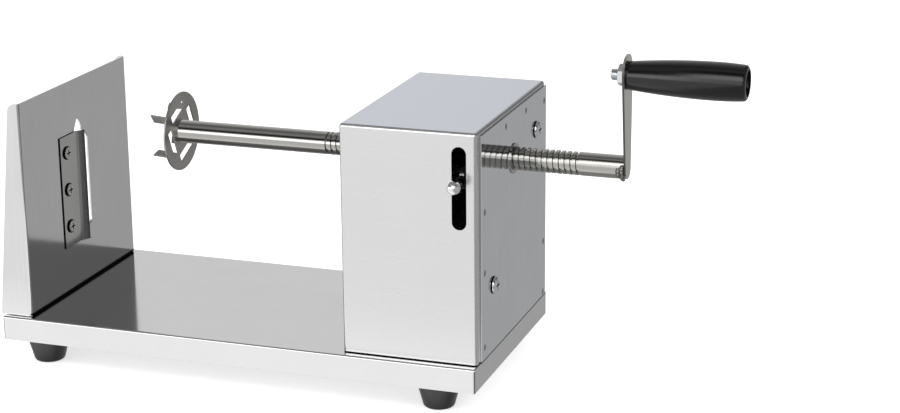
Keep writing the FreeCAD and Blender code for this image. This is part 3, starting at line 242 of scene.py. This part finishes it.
def blade_edge_shade(tree, axes):
    """Painted shade along the blade's sheared edges, which read as a thin dark outline, and a painted dark
    reflection that darkens its bend and wing.
    """
    low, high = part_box("blade")
    bend = reached(tree, axes["X"], low.x + 0.9 * MM, low.x + 1.1 * MM)
    wing = reached(tree, axes["X"], low.x + 2.0 * MM, low.x + 2.3 * MM)
    # Painted dark reflection on the bend and the wing.
    wing_shade = combine(tree, "ADD", [combine(tree, "MULTIPLY", [bend, 0.30]),
                                   combine(tree, "MULTIPLY", [wing, 0.32])])
    side = reached(tree, axes["Y"], low.y + 0.22 * MM, low.y + 0.1 * MM)
    upper = reached(tree, axes["Z"], high.z - 0.3 * MM, high.z - 0.15 * MM)
    lower = reached(tree, axes["Z"], low.z + 0.3 * MM, low.z + 0.15 * MM)
    return combine(tree, "MAXIMUM", [wing_shade, side, upper, lower])


def facing(tree, axis):
    """How far a surface faces along an axis, either way."""
    normal = add_node(tree, "ShaderNodeTexCoord").outputs["Normal"]
    part = add_node(tree, "ShaderNodeSeparateXYZ", {0: normal}).outputs[axis]
    return add_node(tree, "ShaderNodeMath", {0: part}, operation="ABSOLUTE").outputs[0]


def sheared_sides(tree, axes):
    """The long sheared sides of the crank arm."""
    return reached(tree, facing(tree, "Y"), 0.75, 0.9)


def foot_shade_line(height):
    """Painted shade: the dark line where an upright sheet stands on the tray, up to a height above it."""
    def where(tree, axes):
        return reached(tree, axes["Z"], TRAY_TOP + height + 0.3 * MM, TRAY_TOP + height)
    return where


def top_ceiling_reflection(tree, axes):
    """The cover's top, painted bluer as a reflection of the bluish ceiling."""
    return reached(tree, facing(tree, "Z"), 0.8, 0.95)


def tray_seam_shade(tree, axes):
    """The open seams at the tray's corners, with painted shade in them."""
    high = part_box("base_tray")[1]
    near = []
    for axis, reach in (("X", high.x - 0.6 * MM), ("Y", high.y - 1.3 * MM)):
        size = add_node(tree, "ShaderNodeMath", {0: axes[axis]}, operation="ABSOLUTE").outputs[0]
        near.append(reached(tree, size, reach, reach + 0.1 * MM))
    below = reached(tree, axes["Z"], high.z - 1.4 * MM, high.z - 1.8 * MM)
    return combine(tree, "MULTIPLY", near + [below])


def head_shade(centres, radius, top, height, edge):
    """Painted shade: the dark line round a screw's head, up to a level above its seat, and the dark inside
    of its cross.
    """
    def where(tree, axes):
        place = add_node(tree, "ShaderNodeCombineXYZ", {"Y": axes["Y"], "Z": axes["Z"]}).outputs[0]
        reaches = []
        for y, z in centres:
            node = add_node(tree, "ShaderNodeVectorMath", {0: place, 1: (0, y, z)}, operation="DISTANCE")
            reaches.append(node.outputs["Value"])
        reach = combine(tree, "MINIMUM", reaches)
        line = top - height + edge
        rim = combine(tree, "MULTIPLY", [reached(tree, reach, radius - 0.75 * MM, radius - 0.45 * MM),
                                         reached(tree, axes["X"], line + 0.15 * MM, line)])
        inside = combine(tree, "MULTIPLY", [reached(tree, reach, radius * 0.62, radius * 0.56),
                                            reached(tree, axes["X"], top - 0.15 * MM, top - 0.5 * MM)])
        return combine(tree, "MAXIMUM", [rim, inside])
    return where


def screw_heads(node, count, head, height, edge, pitch=0):
    """Where a node's screw heads are, in a column, with half their width, their top and their height."""
    low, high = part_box(node)
    middle = (low + high) / 2
    centres = [(middle.y, middle.z + (step - (count - 1) / 2) * pitch) for step in range(count)]
    return centres, head / 2, high.x, height, edge


def moulded(name, tint, roughness, grain, depth, contrast=0.1, gloss=0.5, coat=0.0):
    """Moulded plastic or rubber with the fine texture of its mould."""
    material, tree, shader = start_material(name)
    texture = stretched_noise(tree, grain, detail=4.0)
    hue = add_node(tree, "ShaderNodeMix", {
        0: texture, 6: shade(tint, 1 - contrast), 7: shade(tint, 1 + contrast)}, data_type="RGBA")
    dulling = add_node(tree, "ShaderNodeMapRange", {
        "Value": texture, "From Min": 0.3, "From Max": 0.7,
        "To Min": roughness * 0.85, "To Max": roughness * 1.15})
    relief = add_node(tree, "ShaderNodeBump", {"Height": texture, "Distance": depth, "Strength": 1.0})
    for socket, value in (("IOR", 1.5), ("Specular IOR Level", gloss), ("Coat Weight", coat),
                          ("Coat Roughness", roughness * 0.6)):
        shader.inputs[socket].default_value = value
    for socket, source in (("Base Color", hue.outputs[2]), ("Roughness", dulling.outputs["Result"]),
                           ("Normal", relief.outputs["Normal"])):
        tree.links.new(source, shader.inputs[socket])
    return material


def plated(name, tint, roughness):
    """Zinc plating, its bright crystals too fine to see but for a slight unevenness."""
    return metal(name, tint, roughness, grain=1.1 * MM, along="", depth=0.004 * MM)


def finishes():
    """Every finish, made once and kept by name."""
    tints = bpy.context.scene.cutter_finishes
    # Painted shade: the near black that the stains below lay in seams, under sheets, round screw heads and
    # along edges.
    dark = tints.painted_shade
    made = {
        # Bright sheet: clear reflections, softened a little by fine lines along X, and painted shade in the
        # open seams at its corners.
        "polished_stainless_sheet": lambda n: stain(
            metal(n, tints.sheet_steel, 0.10, grain=0.9 * MM, along="X", depth=0.001 * MM,
                  contrast=0.02, spread=0.03), dark, tray_seam_shade),
        # Satin sheet of the cover: even and pale, its top painted a little bluer as a reflection of the
        # ceiling, and painted shade in a dark line where it stands.
        "satin_stainless_cover": lambda n: stain(stain(
            metal(n, tints.sheet_steel, 0.25, grain=0.9 * MM, along="X", depth=0.0003 * MM,
                  contrast=0.008, spread=0.03),
            to_linear("#d4d8e0"), top_ceiling_reflection, 0.25), dark, foot_shade_line(0.65 * MM)),
        # The tray's sheet again, its lines upright, with painted shade at the plate's foot in the corner
        # with the tray.
        "polished_stainless_plate": lambda n: stain(
            metal(n, tints.sheet_steel, 0.11, grain=1.6 * MM, along="Z", depth=0.002 * MM,
                  contrast=0.03, spread=0.03), dark, plate_foot_shade),
        # Bright sheet with faint upright lines: the screw shows in it. Painted shade in a dark line under
        # it.
        "bright_stainless_panel": lambda n: stain(
            metal(n, tints.panel_steel, 0.06, grain=2.2 * MM, along="Z", depth=0.0008 * MM,
                  contrast=0.03, spread=0.02), dark, foot_shade_line(0.8 * MM)),
        # Ground blade: fine upright strokes, painted shade along its sheared edges and a painted dark
        # reflection on its bend and wing.
        "ground_blade_steel": lambda n: stain(
            metal(n, tints.blade_steel, 0.13, grain=0.8 * MM, along="Z", depth=0.003 * MM,
                  contrast=0.04), dark, blade_edge_shade, 0.3),
        # Turned and polished bar: rings too fine to see, so only a slight softening across X.
        "polished_turned_steel": lambda n: metal(
            n, tints.turned_steel, 0.07, grain=0.5 * MM, along="YZ", depth=0.002 * MM,
            contrast=0.04, spread=0.03),
        # The screw's steel: the same turning, greyer from handling and oil in the thread.
        "greyed_turned_steel": lambda n: metal(
            n, tints.screw_steel, 0.10, grain=0.5 * MM, along="YZ", depth=0.003 * MM,
            contrast=0.07, spread=0.04),
        # Stamped and tumbled fork: dull satin, with small uneven patches.
        "tumbled_stainless": lambda n: metal(
            n, tints.fork_steel, 0.38, grain=0.9 * MM, along="", depth=0.012 * MM, contrast=0.16),
        # Crank arm: cut from bar, its mill lines along it, its sheared sides dark.
        "milled_bar_steel": lambda n: stain(
            metal(n, tints.bar_steel, 0.26, grain=1.2 * MM, along="Z", depth=0.004 * MM,
                  contrast=0.05), to_linear("#5c5b58"), sheared_sides, 0.4),
        # Bright zinc: nuts and bolts gleam, a little unevenly.
        "bright_zinc_plate": lambda n: plated(n, tints.zinc, 0.16),
        # Zinc-plated heads with painted shade: a dark line at the seat and a dark cross.
        "zinc_blade_screw": lambda n: stain(plated(n, tints.screw_zinc, 0.20), dark, head_shade(
            *screw_heads("blade_screws", count=3, head=10 * MM, height=1.6 * MM, edge=1.1 * MM,
                         pitch=27.5 * MM))),
        "zinc_pivot_bolt": lambda n: stain(plated(n, tints.zinc, 0.14), dark, head_shade(
            *screw_heads("pivot_bolt", count=1, head=12 * MM, height=2.8 * MM, edge=0.6 * MM))),
        "zinc_spring_bolt": lambda n: stain(plated(n, tints.zinc, 0.14), dark, head_shade(
            *screw_heads("spring_bolt", count=1, head=12 * MM, height=2.8 * MM, edge=0.6 * MM))),
        # Chrome worn to a soft shine by fingers.
        "worn_chrome": lambda n: metal(
            n, tints.chrome, 0.20, grain=1.5 * MM, along="", depth=0.001 * MM, contrast=0.03),
        # Painted shade: the stud is made near black so that it reads as shaded inside the slot.
        "shaded_stud_steel": lambda n: metal(
            n, tints.oxide, 0.45, grain=1.0 * MM, along="", depth=0.005 * MM, contrast=0.10),
        # Cold rolled bar: a plain grey satin with the roll's lines.
        "cold_rolled_steel": lambda n: metal(
            n, tints.lever_steel, 0.42, grain=1.5 * MM, along="Y", depth=0.01 * MM, contrast=0.12),
        # Drawn wire: darker and duller than the bolts beside it.
        "drawn_spring_wire": lambda n: metal(
            n, tints.wire_steel, 0.33, grain=0.8 * MM, along="", depth=0.008 * MM, contrast=0.1),
        # Machined brass: warm, with the cutter's lines.
        "machined_brass": lambda n: metal(
            n, tints.brass, 0.28, grain=0.6 * MM, along="Y", depth=0.008 * MM, contrast=0.08),
        # Weld metal: dull, rippled and slightly heat tinted.
        "weld_metal": lambda n: metal(
            n, tints.weld_steel, 0.30, grain=0.8 * MM, along="", depth=0.05 * MM,
            contrast=0.22, spread=0.12, cloud=2 * MM),
        # Glossy ABS: a clear highlight, barely broken by the mould's orange peel.
        "glossy_black_abs": lambda n: moulded(
            n, tints.grip_black, 0.17, grain=2.5 * MM, depth=0.008 * MM),
        # Rubber: a soft sheen over a fine matt grain.
        "black_moulded_rubber": lambda n: moulded(
            n, tints.rubber, 0.24, grain=0.5 * MM, depth=0.006 * MM, contrast=0.2, gloss=0.45,
            coat=0.35),
    }

    def get(name):
        return bpy.data.materials.get(name) or made[name](name)

    return get


NODE_FINISH = {
    "base_tray": "polished_stainless_sheet",
    "blade_plate": "polished_stainless_plate",
    "box_cover": "satin_stainless_cover",
    "left_side_panel": "bright_stainless_panel",
    "right_side_panel": "bright_stainless_panel",
    "blade": "ground_blade_steel",
    "lead_screw": "greyed_turned_steel",
    "spacer_sleeve": "polished_turned_steel",
    "fork_disc": "tumbled_stainless",
    "crank_arm": "milled_bar_steel",
    "left_bush": "greyed_turned_steel",
    "right_bush": "greyed_turned_steel",
    "blade_screws": "zinc_blade_screw",
    "pivot_bolt": "zinc_pivot_bolt",
    "spring_bolt": "zinc_spring_bolt",
    "handle_grip": "glossy_black_abs",
    "lever_arm": "cold_rolled_steel",
    "lever_pivot_bush": "machined_brass",
    "half_nut": "machined_brass",
    "release_spring": "drawn_spring_wire",
    "knob_stud": "shaded_stud_steel",
    "lever_knob": "worn_chrome",
    "foot_front_left": "black_moulded_rubber",
    "foot_front_right": "black_moulded_rubber",
    "foot_rear_left": "black_moulded_rubber",
    "foot_rear_right": "black_moulded_rubber",
}


# Pieces

def body_of(node):
    bodies = frame["record"]["behaviour"]["bodies"]
    return next(body for body, members in bodies.items() if node in members)


def to_object(name, shape, finish, crease=30):
    """Turn a bmesh into an object at the origin, smooth except at its creases."""
    mesh = bpy.data.meshes.new(name)
    shape.to_mesh(mesh)
    shape.free()
    mesh.materials.append(finish)
    mesh.shade_smooth()
    mesh.set_sharp_from_angle(angle=radians(crease))
    item = bpy.data.objects.new(name, mesh)
    bpy.context.scene.collection.objects.link(item)
    return item


def add_piece(name, shape, finish, like, replaced=(), crease=30):
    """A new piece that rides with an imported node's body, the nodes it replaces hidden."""
    item = to_object(name, shape, finish, crease)
    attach(item, body_of(like))
    if replaced:
        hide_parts(*replaced)
    return item


def merged_copy(node):
    """The node's mesh with its loose triangles joined and its flat faces whole."""
    shape = bmesh.new()
    shape.from_mesh(frame["nodes"][node].data)
    bmesh.ops.remove_doubles(shape, verts=shape.verts, dist=0.002 * MM)
    bmesh.ops.dissolve_limit(shape, angle_limit=radians(0.5), verts=shape.verts, edges=shape.edges)
    return shape


def break_edges(shape, width):
    """Round the sharp edges, as a deburred sheet's are."""
    sharp = [edge for edge in shape.edges
             if len(edge.link_faces) == 2 and edge.calc_face_angle(0) > radians(35)]
    bmesh.ops.bevel(shape, geom=sharp, offset=width, offset_type="OFFSET", segments=2,
                    profile=0.5, affect="EDGES", clamp_overlap=True, material=-1)


def turned(profile, centre, steps):
    """Spin a profile of (distance along X, radius) pairs round the X axis through a centre."""
    shape = bmesh.new()
    points = [shape.verts.new(centre + Vector((along, 0, radius))) for along, radius in profile]
    edges = [shape.edges.new(pair) for pair in zip(points, points[1:])]
    bmesh.ops.spin(shape, geom=points + edges, cent=centre, axis=(1, 0, 0), angle=tau,
                   steps=steps, use_merge=True)
    bmesh.ops.remove_doubles(shape, verts=shape.verts, dist=0.001 * MM)
    bmesh.ops.recalc_face_normals(shape, faces=shape.faces)
    return shape


def join(whole, part):
    """Move one bmesh into another."""
    passing = bpy.data.meshes.new("passing")
    part.to_mesh(passing)
    part.free()
    whole.from_mesh(passing)
    bpy.data.meshes.remove(passing)


def cut_off(shape, place, outward):
    """Cut away what lies past a plane and give back the cut's edges."""
    cut = bmesh.ops.bisect_plane(shape, geom=shape.verts[:] + shape.edges[:] + shape.faces[:],
                                 plane_co=place, plane_no=outward, clear_outer=True)
    return [edge for edge in cut["geom_cut"] if isinstance(edge, bmesh.types.BMEdge)]


class CutterOperator:
    """What every step shares."""

    bl_options = {"REGISTER", "UNDO"}


class CUTTER_OT_finish_nodes(CutterOperator, bpy.types.Operator):
    """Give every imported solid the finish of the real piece"""

    bl_idname = "cutter.finish_nodes"
    bl_label = "Finish the packed solids"

    def execute(self, context):
        finish = finishes()
        for name, item in frame["nodes"].items():
            material = finish(NODE_FINISH.get(name, "bright_zinc_plate"))
            item.data.materials.clear()
            item.data.materials.append(material)
        return {"FINISHED"}


class CUTTER_OT_sheets(CutterOperator, bpy.types.Operator):
    """Sheet-metal pieces with their sheared edges broken"""

    bl_idname = "cutter.sheets"
    bl_label = "Sheets with broken edges"

    SHEETS = ("base_tray", "blade_plate", "box_cover", "left_side_panel", "right_side_panel",
              "blade", "crank_arm", "fork_disc")

    def execute(self, context):
        finish = finishes()
        for node in self.SHEETS:
            shape = merged_copy(node)
            break_edges(shape, context.scene.cutter_fittings.edge_break)
            # The blade's bends are crisp, the other sheets' are round.
            crease = 22 if node == "blade" else 60
            sheet = add_piece(f"{node}_sheet", shape, finish(NODE_FINISH[node]), node, [node], crease)
            flatten = sheet.modifiers.new("flat_faces_stay_flat", "WEIGHTED_NORMAL")
            flatten.weight = 100
            flatten.keep_sharp = True
            # The disc is left out of reflections, so the sleeve's bands run up to it unbroken.
            sheet.visible_glossy = node != "fork_disc"
        return {"FINISHED"}


class CUTTER_OT_spot_welds(CutterOperator, bpy.types.Operator):
    """Marks of the spot welds that join the right side panel to the cover's returns"""

    bl_idname = "cutter.spot_welds"
    bl_label = "Spot welds"

    # Places on the panel in millimetres, and a mark's dented profile in shares of its height and radius.
    PLACES = ((-18.0, 185.0), (28.2, 184.9), (72.6, 181.5), (-64.8, 138.7), (-64.9, 96.9),
              (-65.1, 45.1), (71.9, 77.7), (71.5, 39.6))
    DENT = ((0, 1), (1, 0.8), (0.7, 0.6), (0.15, 0.35), (0.1, 0))

    def execute(self, context):
        sizes = context.scene.cutter_fittings
        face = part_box("right_side_panel")[1].x - 0.01 * MM
        profile = [(sizes.spot_height * up, sizes.spot_diameter / 2 * out) for up, out in self.DENT]
        marks = bmesh.new()
        for y, z in self.PLACES:
            join(marks, turned(profile, Vector((face, y * MM, z * MM)), 24))
        add_piece("spot_weld_marks", marks, finishes()("weld_metal"), "right_side_panel", crease=60)
        return {"FINISHED"}


class CUTTER_OT_crank_weld(CutterOperator, bpy.types.Operator):
    """Weld bead between the lead screw's end and the crank arm"""

    bl_idname = "cutter.crank_weld"
    bl_label = "Crank weld"

    # Two passes of ripples: first angle and step in degrees round the screw from its top, how many,
    # their distance from the arm and their size, both in shares of the bead's size.
    PASSES = ((78, 8.5, 11, 0.45, 1), (92, 9.0, 6, 1.9, 0.8))

    def execute(self, context):
        size = context.scene.cutter_fittings.bead_size
        low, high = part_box("lead_screw")
        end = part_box("crank_arm")[0].x
        radius = (high.y - low.y) / 2
        axis = Vector((end, 0, high.z - radius))
        reach = radius - 0.7 * MM
        ripples = [(radians(first + number * step), away, share)
                   for first, step, total, away, share in self.PASSES for number in range(total)]
        bead = bmesh.new()
        for count, (angle, away, share) in enumerate(ripples):
            swell = share * (1 + 0.28 * sin(count * 2.3))
            place = axis + Vector((-size * away, -sin(angle) * reach, cos(angle) * reach))
            made = bmesh.ops.create_icosphere(bead, subdivisions=2, radius=size * swell,
                                              matrix=Matrix.Translation(place))
            for vertex in made["verts"]:
                vertex.co.x = min(vertex.co.x, end - 0.02 * MM)
        add_piece("crank_weld_bead", bead, finishes()("weld_metal"), "crank_arm", crease=70)
        return {"FINISHED"}


class CUTTER_OT_handle_fittings(CutterOperator, bpy.types.Operator):
    """Threaded end of the handle bolt and the chamfered nut on it"""

    bl_idname = "cutter.handle_fittings"
    bl_label = "Handle bolt and nut"

    BOLT_RADIUS = 4 * MM
    FACETS = 24

    def execute(self, context):
        plate = finishes()("bright_zinc_plate")
        sizes = context.scene.cutter_fittings
        low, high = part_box("handle_nut")
        # Just inside the nut, out of sight, the threaded end meets the bolt's plain shank.
        meeting = low.x + 0.3 * MM

        shank = merged_copy("handle_bolt")
        bmesh.ops.contextual_create(shank, geom=cut_off(shank, (meeting, 0, 0), (-1, 0, 0)))
        add_piece("shoulder_bolt", shank, plate, "handle_bolt", ["handle_bolt"])

        tip = Vector((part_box("handle_bolt")[0].x, (low.y + high.y) / 2, (low.z + high.z) / 2))
        thread = self.threaded_end(sizes, tip, meeting - tip.x)
        add_piece("handle_bolt_thread", thread, plate, "handle_bolt", crease=40)

        nut = self.chamfered_nut(low, high)
        add_piece("handle_nut_chamfered", nut, plate, "handle_nut", ["handle_nut"], crease=20)
        return {"FINISHED"}

    def threaded_end(self, sizes, tip, run):
        """A ridge wound round a core, from the bolt's tip for a length."""
        pitch = sizes.bolt_pitch
        root = self.BOLT_RADIUS - 0.61 * pitch
        crest = self.BOLT_RADIUS - 0.08 * MM
        turns = run / pitch - 1
        steps = int(turns * sizes.thread_segments)
        first = tip + Vector((0.1 * MM, 0, 0))
        profile = [(0, root), (pitch * 0.425, crest), (pitch * 0.575, crest), (pitch, root)]
        ridge = bmesh.new()
        points = [ridge.verts.new(first + Vector((along, 0, radius))) for along, radius in profile]
        edges = [ridge.edges.new(pair) for pair in zip(points, points[1:])]
        bmesh.ops.spin(ridge, geom=points + edges, cent=first, axis=(1, 0, 0), angle=turns * tau,
                       steps=steps, dvec=(turns * pitch / steps, 0, 0))
        core = root + 0.02 * MM
        join(ridge, turned([(0, 0), (0, root - 0.5 * MM), (0.45 * MM, core), (run, core)], tip, 40))
        bmesh.ops.recalc_face_normals(ridge, faces=ridge.faces)
        return ridge

    def chamfered_nut(self, low, high):
        """The nut with its corners turned off at both faces, as a ring of small flats."""
        nut = merged_copy("handle_nut")
        middle = (low + high) / 2
        start = (high.z - low.z) / 2 * 0.89
        for side, face in ((-1, low.x), (1, high.x)):
            for count in range(self.FACETS):
                angle = tau * count / self.FACETS
                outward = Vector((0, sin(angle), cos(angle)))
                normal = (outward + Vector((side * 1.9, 0, 0))).normalized()
                rim = cut_off(nut, Vector((face, middle.y, middle.z)) + outward * start, normal)
                if len(rim) > 2:
                    bmesh.ops.holes_fill(nut, edges=rim, sides=0)
        return nut


class CUTTER_OT_knob(CutterOperator, bpy.types.Operator):
    """Ball knob with its necked shank"""

    bl_idname = "cutter.knob"
    bl_label = "Ball knob"

    # The ball's arc ends where the neck begins, then come the neck and the shank's chamfered end.
    NECK_ANGLE = 54
    NECK_RADIUS = 3.75 * MM
    SHANK = ((0.9 * MM, 3.15 * MM), (0.3 * MM, 3.2 * MM), (0, 2.95 * MM), (0, 2.55 * MM))

    def execute(self, context):
        low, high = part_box("lever_knob")
        radius = (high.x - low.x) / 2
        centre = Vector(((low.x + high.x) / 2, low.y + radius, (low.z + high.z) / 2))
        arc = [radians(angle) for angle in range(180, self.NECK_ANGLE, -6)]
        profile = [(radius * cos(angle), radius * sin(angle)) for angle in arc]
        profile.append((radius * 0.95, self.NECK_RADIUS))
        end = high.y - centre.y
        profile += [(end - back, out) for back, out in self.SHANK]
        knob = turned(profile, Vector(), 64)
        bmesh.ops.rotate(knob, verts=knob.verts, cent=(0, 0, 0), matrix=Matrix.Rotation(pi / 2, 3, "Z"))
        bmesh.ops.translate(knob, verts=knob.verts, vec=centre)
        bmesh.ops.recalc_face_normals(knob, faces=knob.faces)
        add_piece("ball_knob", knob, finishes()("worn_chrome"), "lever_knob", ["lever_knob"], crease=35)
        return {"FINISHED"}


class CUTTER_OT_spring(CutterOperator, bpy.types.Operator):
    """Release spring between its bolt and the lever, its loose triangles joined"""

    bl_idname = "cutter.spring"
    bl_label = "Release spring"

    HOOK = 6 * MM

    def execute(self, context):
        wire = finishes()("drawn_spring_wire")
        spring = to_object("stretching_spring", merged_copy("release_spring"), wire, 50)
        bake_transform(spring)
        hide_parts("release_spring")
        return {"FINISHED"}


# Stage

def camera_turn(studio):
    """The camera's axes as a rotation, from its yaw, pitch and roll."""
    yaw, pitch, roll = studio.camera_yaw, studio.camera_pitch, studio.camera_roll
    forward = Vector((-sin(yaw) * cos(pitch), cos(yaw) * cos(pitch), -sin(pitch)))
    level = Vector((cos(yaw), sin(yaw), 0))
    over = level.cross(forward)
    right = level * cos(roll) + over * sin(roll)
    up = -level * sin(roll) + over * cos(roll)
    return Matrix((right, up, -forward)).transposed()


def softbox(name, place, target, width, height, power):
    light = bpy.data.lights.new(name, "AREA")
    light.shape = "RECTANGLE"
    light.size, light.size_y = width, height
    light.energy = power
    item = bpy.data.objects.new(name, light)
    item.location = place
    item.rotation_euler = (Vector(target) - Vector(place)).to_track_quat("-Z", "Y").to_euler()
    item.visible_glossy = False
    bpy.context.scene.collection.objects.link(item)


# What polished metal sees of the studio, by the angle above the back horizon in the plane across the
# screw: back wall, ceiling, a dark gap, then the long softbox in front.
STUDIO_BANDS = ((0, 0.78), (21, 0.78), (30, 0.90), (50, 0.66), (66, 0.44), (79, 0.22), (92, 0.22),
                (106, 0.38), (116, 0.42), (126, 0.20), (132, 0.04), (143, 0.04), (150, 0.45),
                (158, 3.00), (174, 3.00), (180, 1.60))

# What polished metal sees of the floor: bright in front of the object, where the key light falls, and
# dim beside it, behind it and under it. Each row is an axis, two places in metres and their levels.
FLOOR_LEVELS = (("Y", -0.26, -0.17, 1.05, 1.22), ("Y", -0.088, -0.074, 1.22, 0.44),
                ("X", 0.19, 0.24, 1.22, 0.44))


class CUTTER_OT_stage(CutterOperator, bpy.types.Operator):
    """Camera, pale floor, soft light and the studio that the metal reflects"""

    bl_idname = "cutter.stage"
    bl_label = "Camera, floor and light"

    def execute(self, context):
        scene = context.scene
        studio = scene.cutter_studio
        scene.view_settings.view_transform = "Standard"
        self.camera(scene, studio)
        self.world(scene, studio)
        self.floor()
        softbox("key_softbox", place=(-0.9, -1.3, 1.6), target=(0, 0, 0.1), width=1.4, height=0.9,
                power=studio.key)
        softbox("fill_softbox", place=(1.5, -0.4, 1.2), target=(0.1, 0, 0.1), width=1.2, height=0.9,
                power=studio.fill)
        return {"FINISHED"}

    def camera(self, scene, studio):
        """Camera at its place, its frame's middle half a pixel off its axis."""
        data = bpy.data.cameras.new("camera")
        data.sensor_width = SENSOR_WIDTH
        data.lens = studio.lens
        data.shift_x = -0.5 / IMAGE_WIDTH
        data.shift_y = 0.5 / IMAGE_WIDTH
        data.clip_start, data.clip_end = 0.05, 50
        item = bpy.data.objects.new("camera", data)
        place = Matrix.Translation(Vector(studio.camera_place))
        item.matrix_world = place @ camera_turn(studio).to_4x4()
        scene.collection.objects.link(item)
        scene.camera = item

    def world(self, scene, studio):
        """White to the eye, even to matt surfaces, and banded to polished ones."""
        world = bpy.data.worlds.new("studio")
        world.use_nodes = True
        scene.world = world
        tree = world.node_tree
        tree.nodes.clear()
        place = add_node(tree, "ShaderNodeTexCoord").outputs["Generated"]
        axes = add_node(tree, "ShaderNodeSeparateXYZ", {0: place}).outputs
        rays = add_node(tree, "ShaderNodeLightPath").outputs
        bands, kept = self.studio_bands(tree, axes)
        seen = add_node(tree, "ShaderNodeBackground", {"Color": bands, "Strength": kept})
        even = add_node(tree, "ShaderNodeBackground", {"Color": (1, 1, 1, 1), "Strength": studio.ambient})
        white = add_node(tree, "ShaderNodeBackground", {"Color": (1, 1, 1, 1), "Strength": 1.0})
        lit = add_node(tree, "ShaderNodeMixShader", {
            0: rays["Is Glossy Ray"], 1: even.outputs[0], 2: seen.outputs[0]})
        clear = combine(tree, "MAXIMUM", [rays["Is Camera Ray"], rays["Is Transmission Ray"]])
        both = add_node(tree, "ShaderNodeMixShader", {0: clear, 1: lit.outputs[0], 2: white.outputs[0]})
        add_node(tree, "ShaderNodeOutputWorld", {"Surface": both.outputs[0]})

    def studio_bands(self, tree, axes):
        """The bands' colour and the share that is kept of it, by the direction of a ray."""
        angle = combine(tree, "ARCTAN2", [axes["Z"], axes["Y"]])
        share = combine(tree, "DIVIDE", [angle, pi])
        # The long softbox hangs higher towards the left, so the screw's outer end shows it further up.
        front = reached(tree, share, 0.50, 0.62)
        right = reached(tree, axes["X"], -0.29, -0.25)
        lift = combine(tree, "MULTIPLY", [front, right, 0.12])
        ramp = add_node(tree, "ShaderNodeValToRGB", {0: combine(tree, "ADD", [share, lift])})
        stops = ramp.color_ramp.elements
        while len(stops) < len(STUDIO_BANDS):
            stops.new(0.5)
        for stop, (degrees, level) in zip(stops, STUDIO_BANDS):
            stop.position = degrees / 180
            stop.color = (level, level, level * 1.01, 1)
        # The back wall darkens towards the right. The front softbox ends on the right, so the tray is
        # grey and not white when seen from behind.
        dim = combine(tree, "MULTIPLY", [reached(tree, axes["Y"], 0.2, 0.6),
                                         reached(tree, axes["X"], -0.30, 0.28), 0.78])
        past = combine(tree, "MULTIPLY", [front, reached(tree, axes["X"], 0.35, 0.60), 0.72])
        off = combine(tree, "MAXIMUM", [dim, past])
        kept = add_node(tree, "ShaderNodeMath", {0: 1.0, 1: off}, operation="SUBTRACT")
        return ramp.outputs["Color"], kept.outputs[0]

    def floor(self):
        """Pale floor that is white to the eye and keeps the object's shadow."""
        shape = bmesh.new()
        bmesh.ops.create_grid(shape, x_segments=1, y_segments=1, size=6)
        bmesh.ops.translate(shape, verts=shape.verts, vec=(0, 0, -0.05 * MM))
        material, tree, shader = start_material("pale_studio_floor")
        shader.inputs["Base Color"].default_value = to_linear("#f4f4f4")
        shader.inputs["Roughness"].default_value = 0.9
        shader.inputs["Specular IOR Level"].default_value = 0.1
        place = add_node(tree, "ShaderNodeTexCoord").outputs["Object"]
        axes = add_node(tree, "ShaderNodeSeparateXYZ", {0: place}).outputs
        levels = []
        for axis, start, stop, low, high in FLOOR_LEVELS:
            node = add_node(tree, "ShaderNodeMapRange", {
                "Value": axes[axis], "From Min": start, "From Max": stop, "To Min": low, "To Max": high})
            levels.append(node.outputs["Result"])
        level = combine(tree, "MINIMUM", levels)
        seen = add_node(tree, "ShaderNodeEmission", {"Color": (1, 1, 1, 1), "Strength": level})
        lift = add_node(tree, "ShaderNodeEmission", {"Color": (1, 1, 1, 1), "Strength": 0.62})
        rays = add_node(tree, "ShaderNodeLightPath").outputs
        bright = add_node(tree, "ShaderNodeAddShader", {0: shader.outputs[0], 1: lift.outputs[0]})
        eye = add_node(tree, "ShaderNodeMixShader", {
            0: rays["Is Camera Ray"], 1: shader.outputs[0], 2: bright.outputs[0]})
        both = add_node(tree, "ShaderNodeMixShader", {
            0: rays["Is Glossy Ray"], 1: eye.outputs[0], 2: seen.outputs[0]})
        tree.links.new(both.outputs[0], tree.nodes["Material Output"].inputs["Surface"])
        to_object("floor", shape, material)


class CUTTER_PT_panel(bpy.types.Panel):
    """The cutter's steps and settings"""

    bl_label = "Potato cutter"
    bl_idname = "CUTTER_PT_panel"
    bl_space_type = "VIEW_3D"
    bl_region_type = "UI"
    bl_category = "Potato cutter"

    def draw(self, context):
        for holder in GROUPS:
            group = getattr(context.scene, holder)
            for name in group.__annotations__:
                self.layout.prop(group, name)
        for step in STEPS:
            self.layout.operator(step.bl_idname)


STEPS = (
    CUTTER_OT_finish_nodes,
    CUTTER_OT_sheets,
    CUTTER_OT_spot_welds,
    CUTTER_OT_crank_weld,
    CUTTER_OT_handle_fittings,
    CUTTER_OT_knob,
    CUTTER_OT_spring,
    CUTTER_OT_stage,
)
GROUPS = {
    "cutter_finishes": CutterFinishes,
    "cutter_fittings": CutterFittings,
    "cutter_studio": CutterStudio,
}


def register():
    for kind in (*GROUPS.values(), *STEPS, CUTTER_PT_panel):
        bpy.utils.register_class(kind)
    for name, group in GROUPS.items():
        setattr(bpy.types.Scene, name, PointerProperty(type=group))


def unregister():
    for name in GROUPS:
        delattr(bpy.types.Scene, name)
    for kind in reversed((*GROUPS.values(), *STEPS, CUTTER_PT_panel)):
        bpy.utils.unregister_class(kind)


def main():
    """Run every step."""
    register()
    for step in STEPS:
        section, name = step.bl_idname.split(".")
        getattr(getattr(bpy.ops, section), name)()


if __name__ == "__main__":
    main()
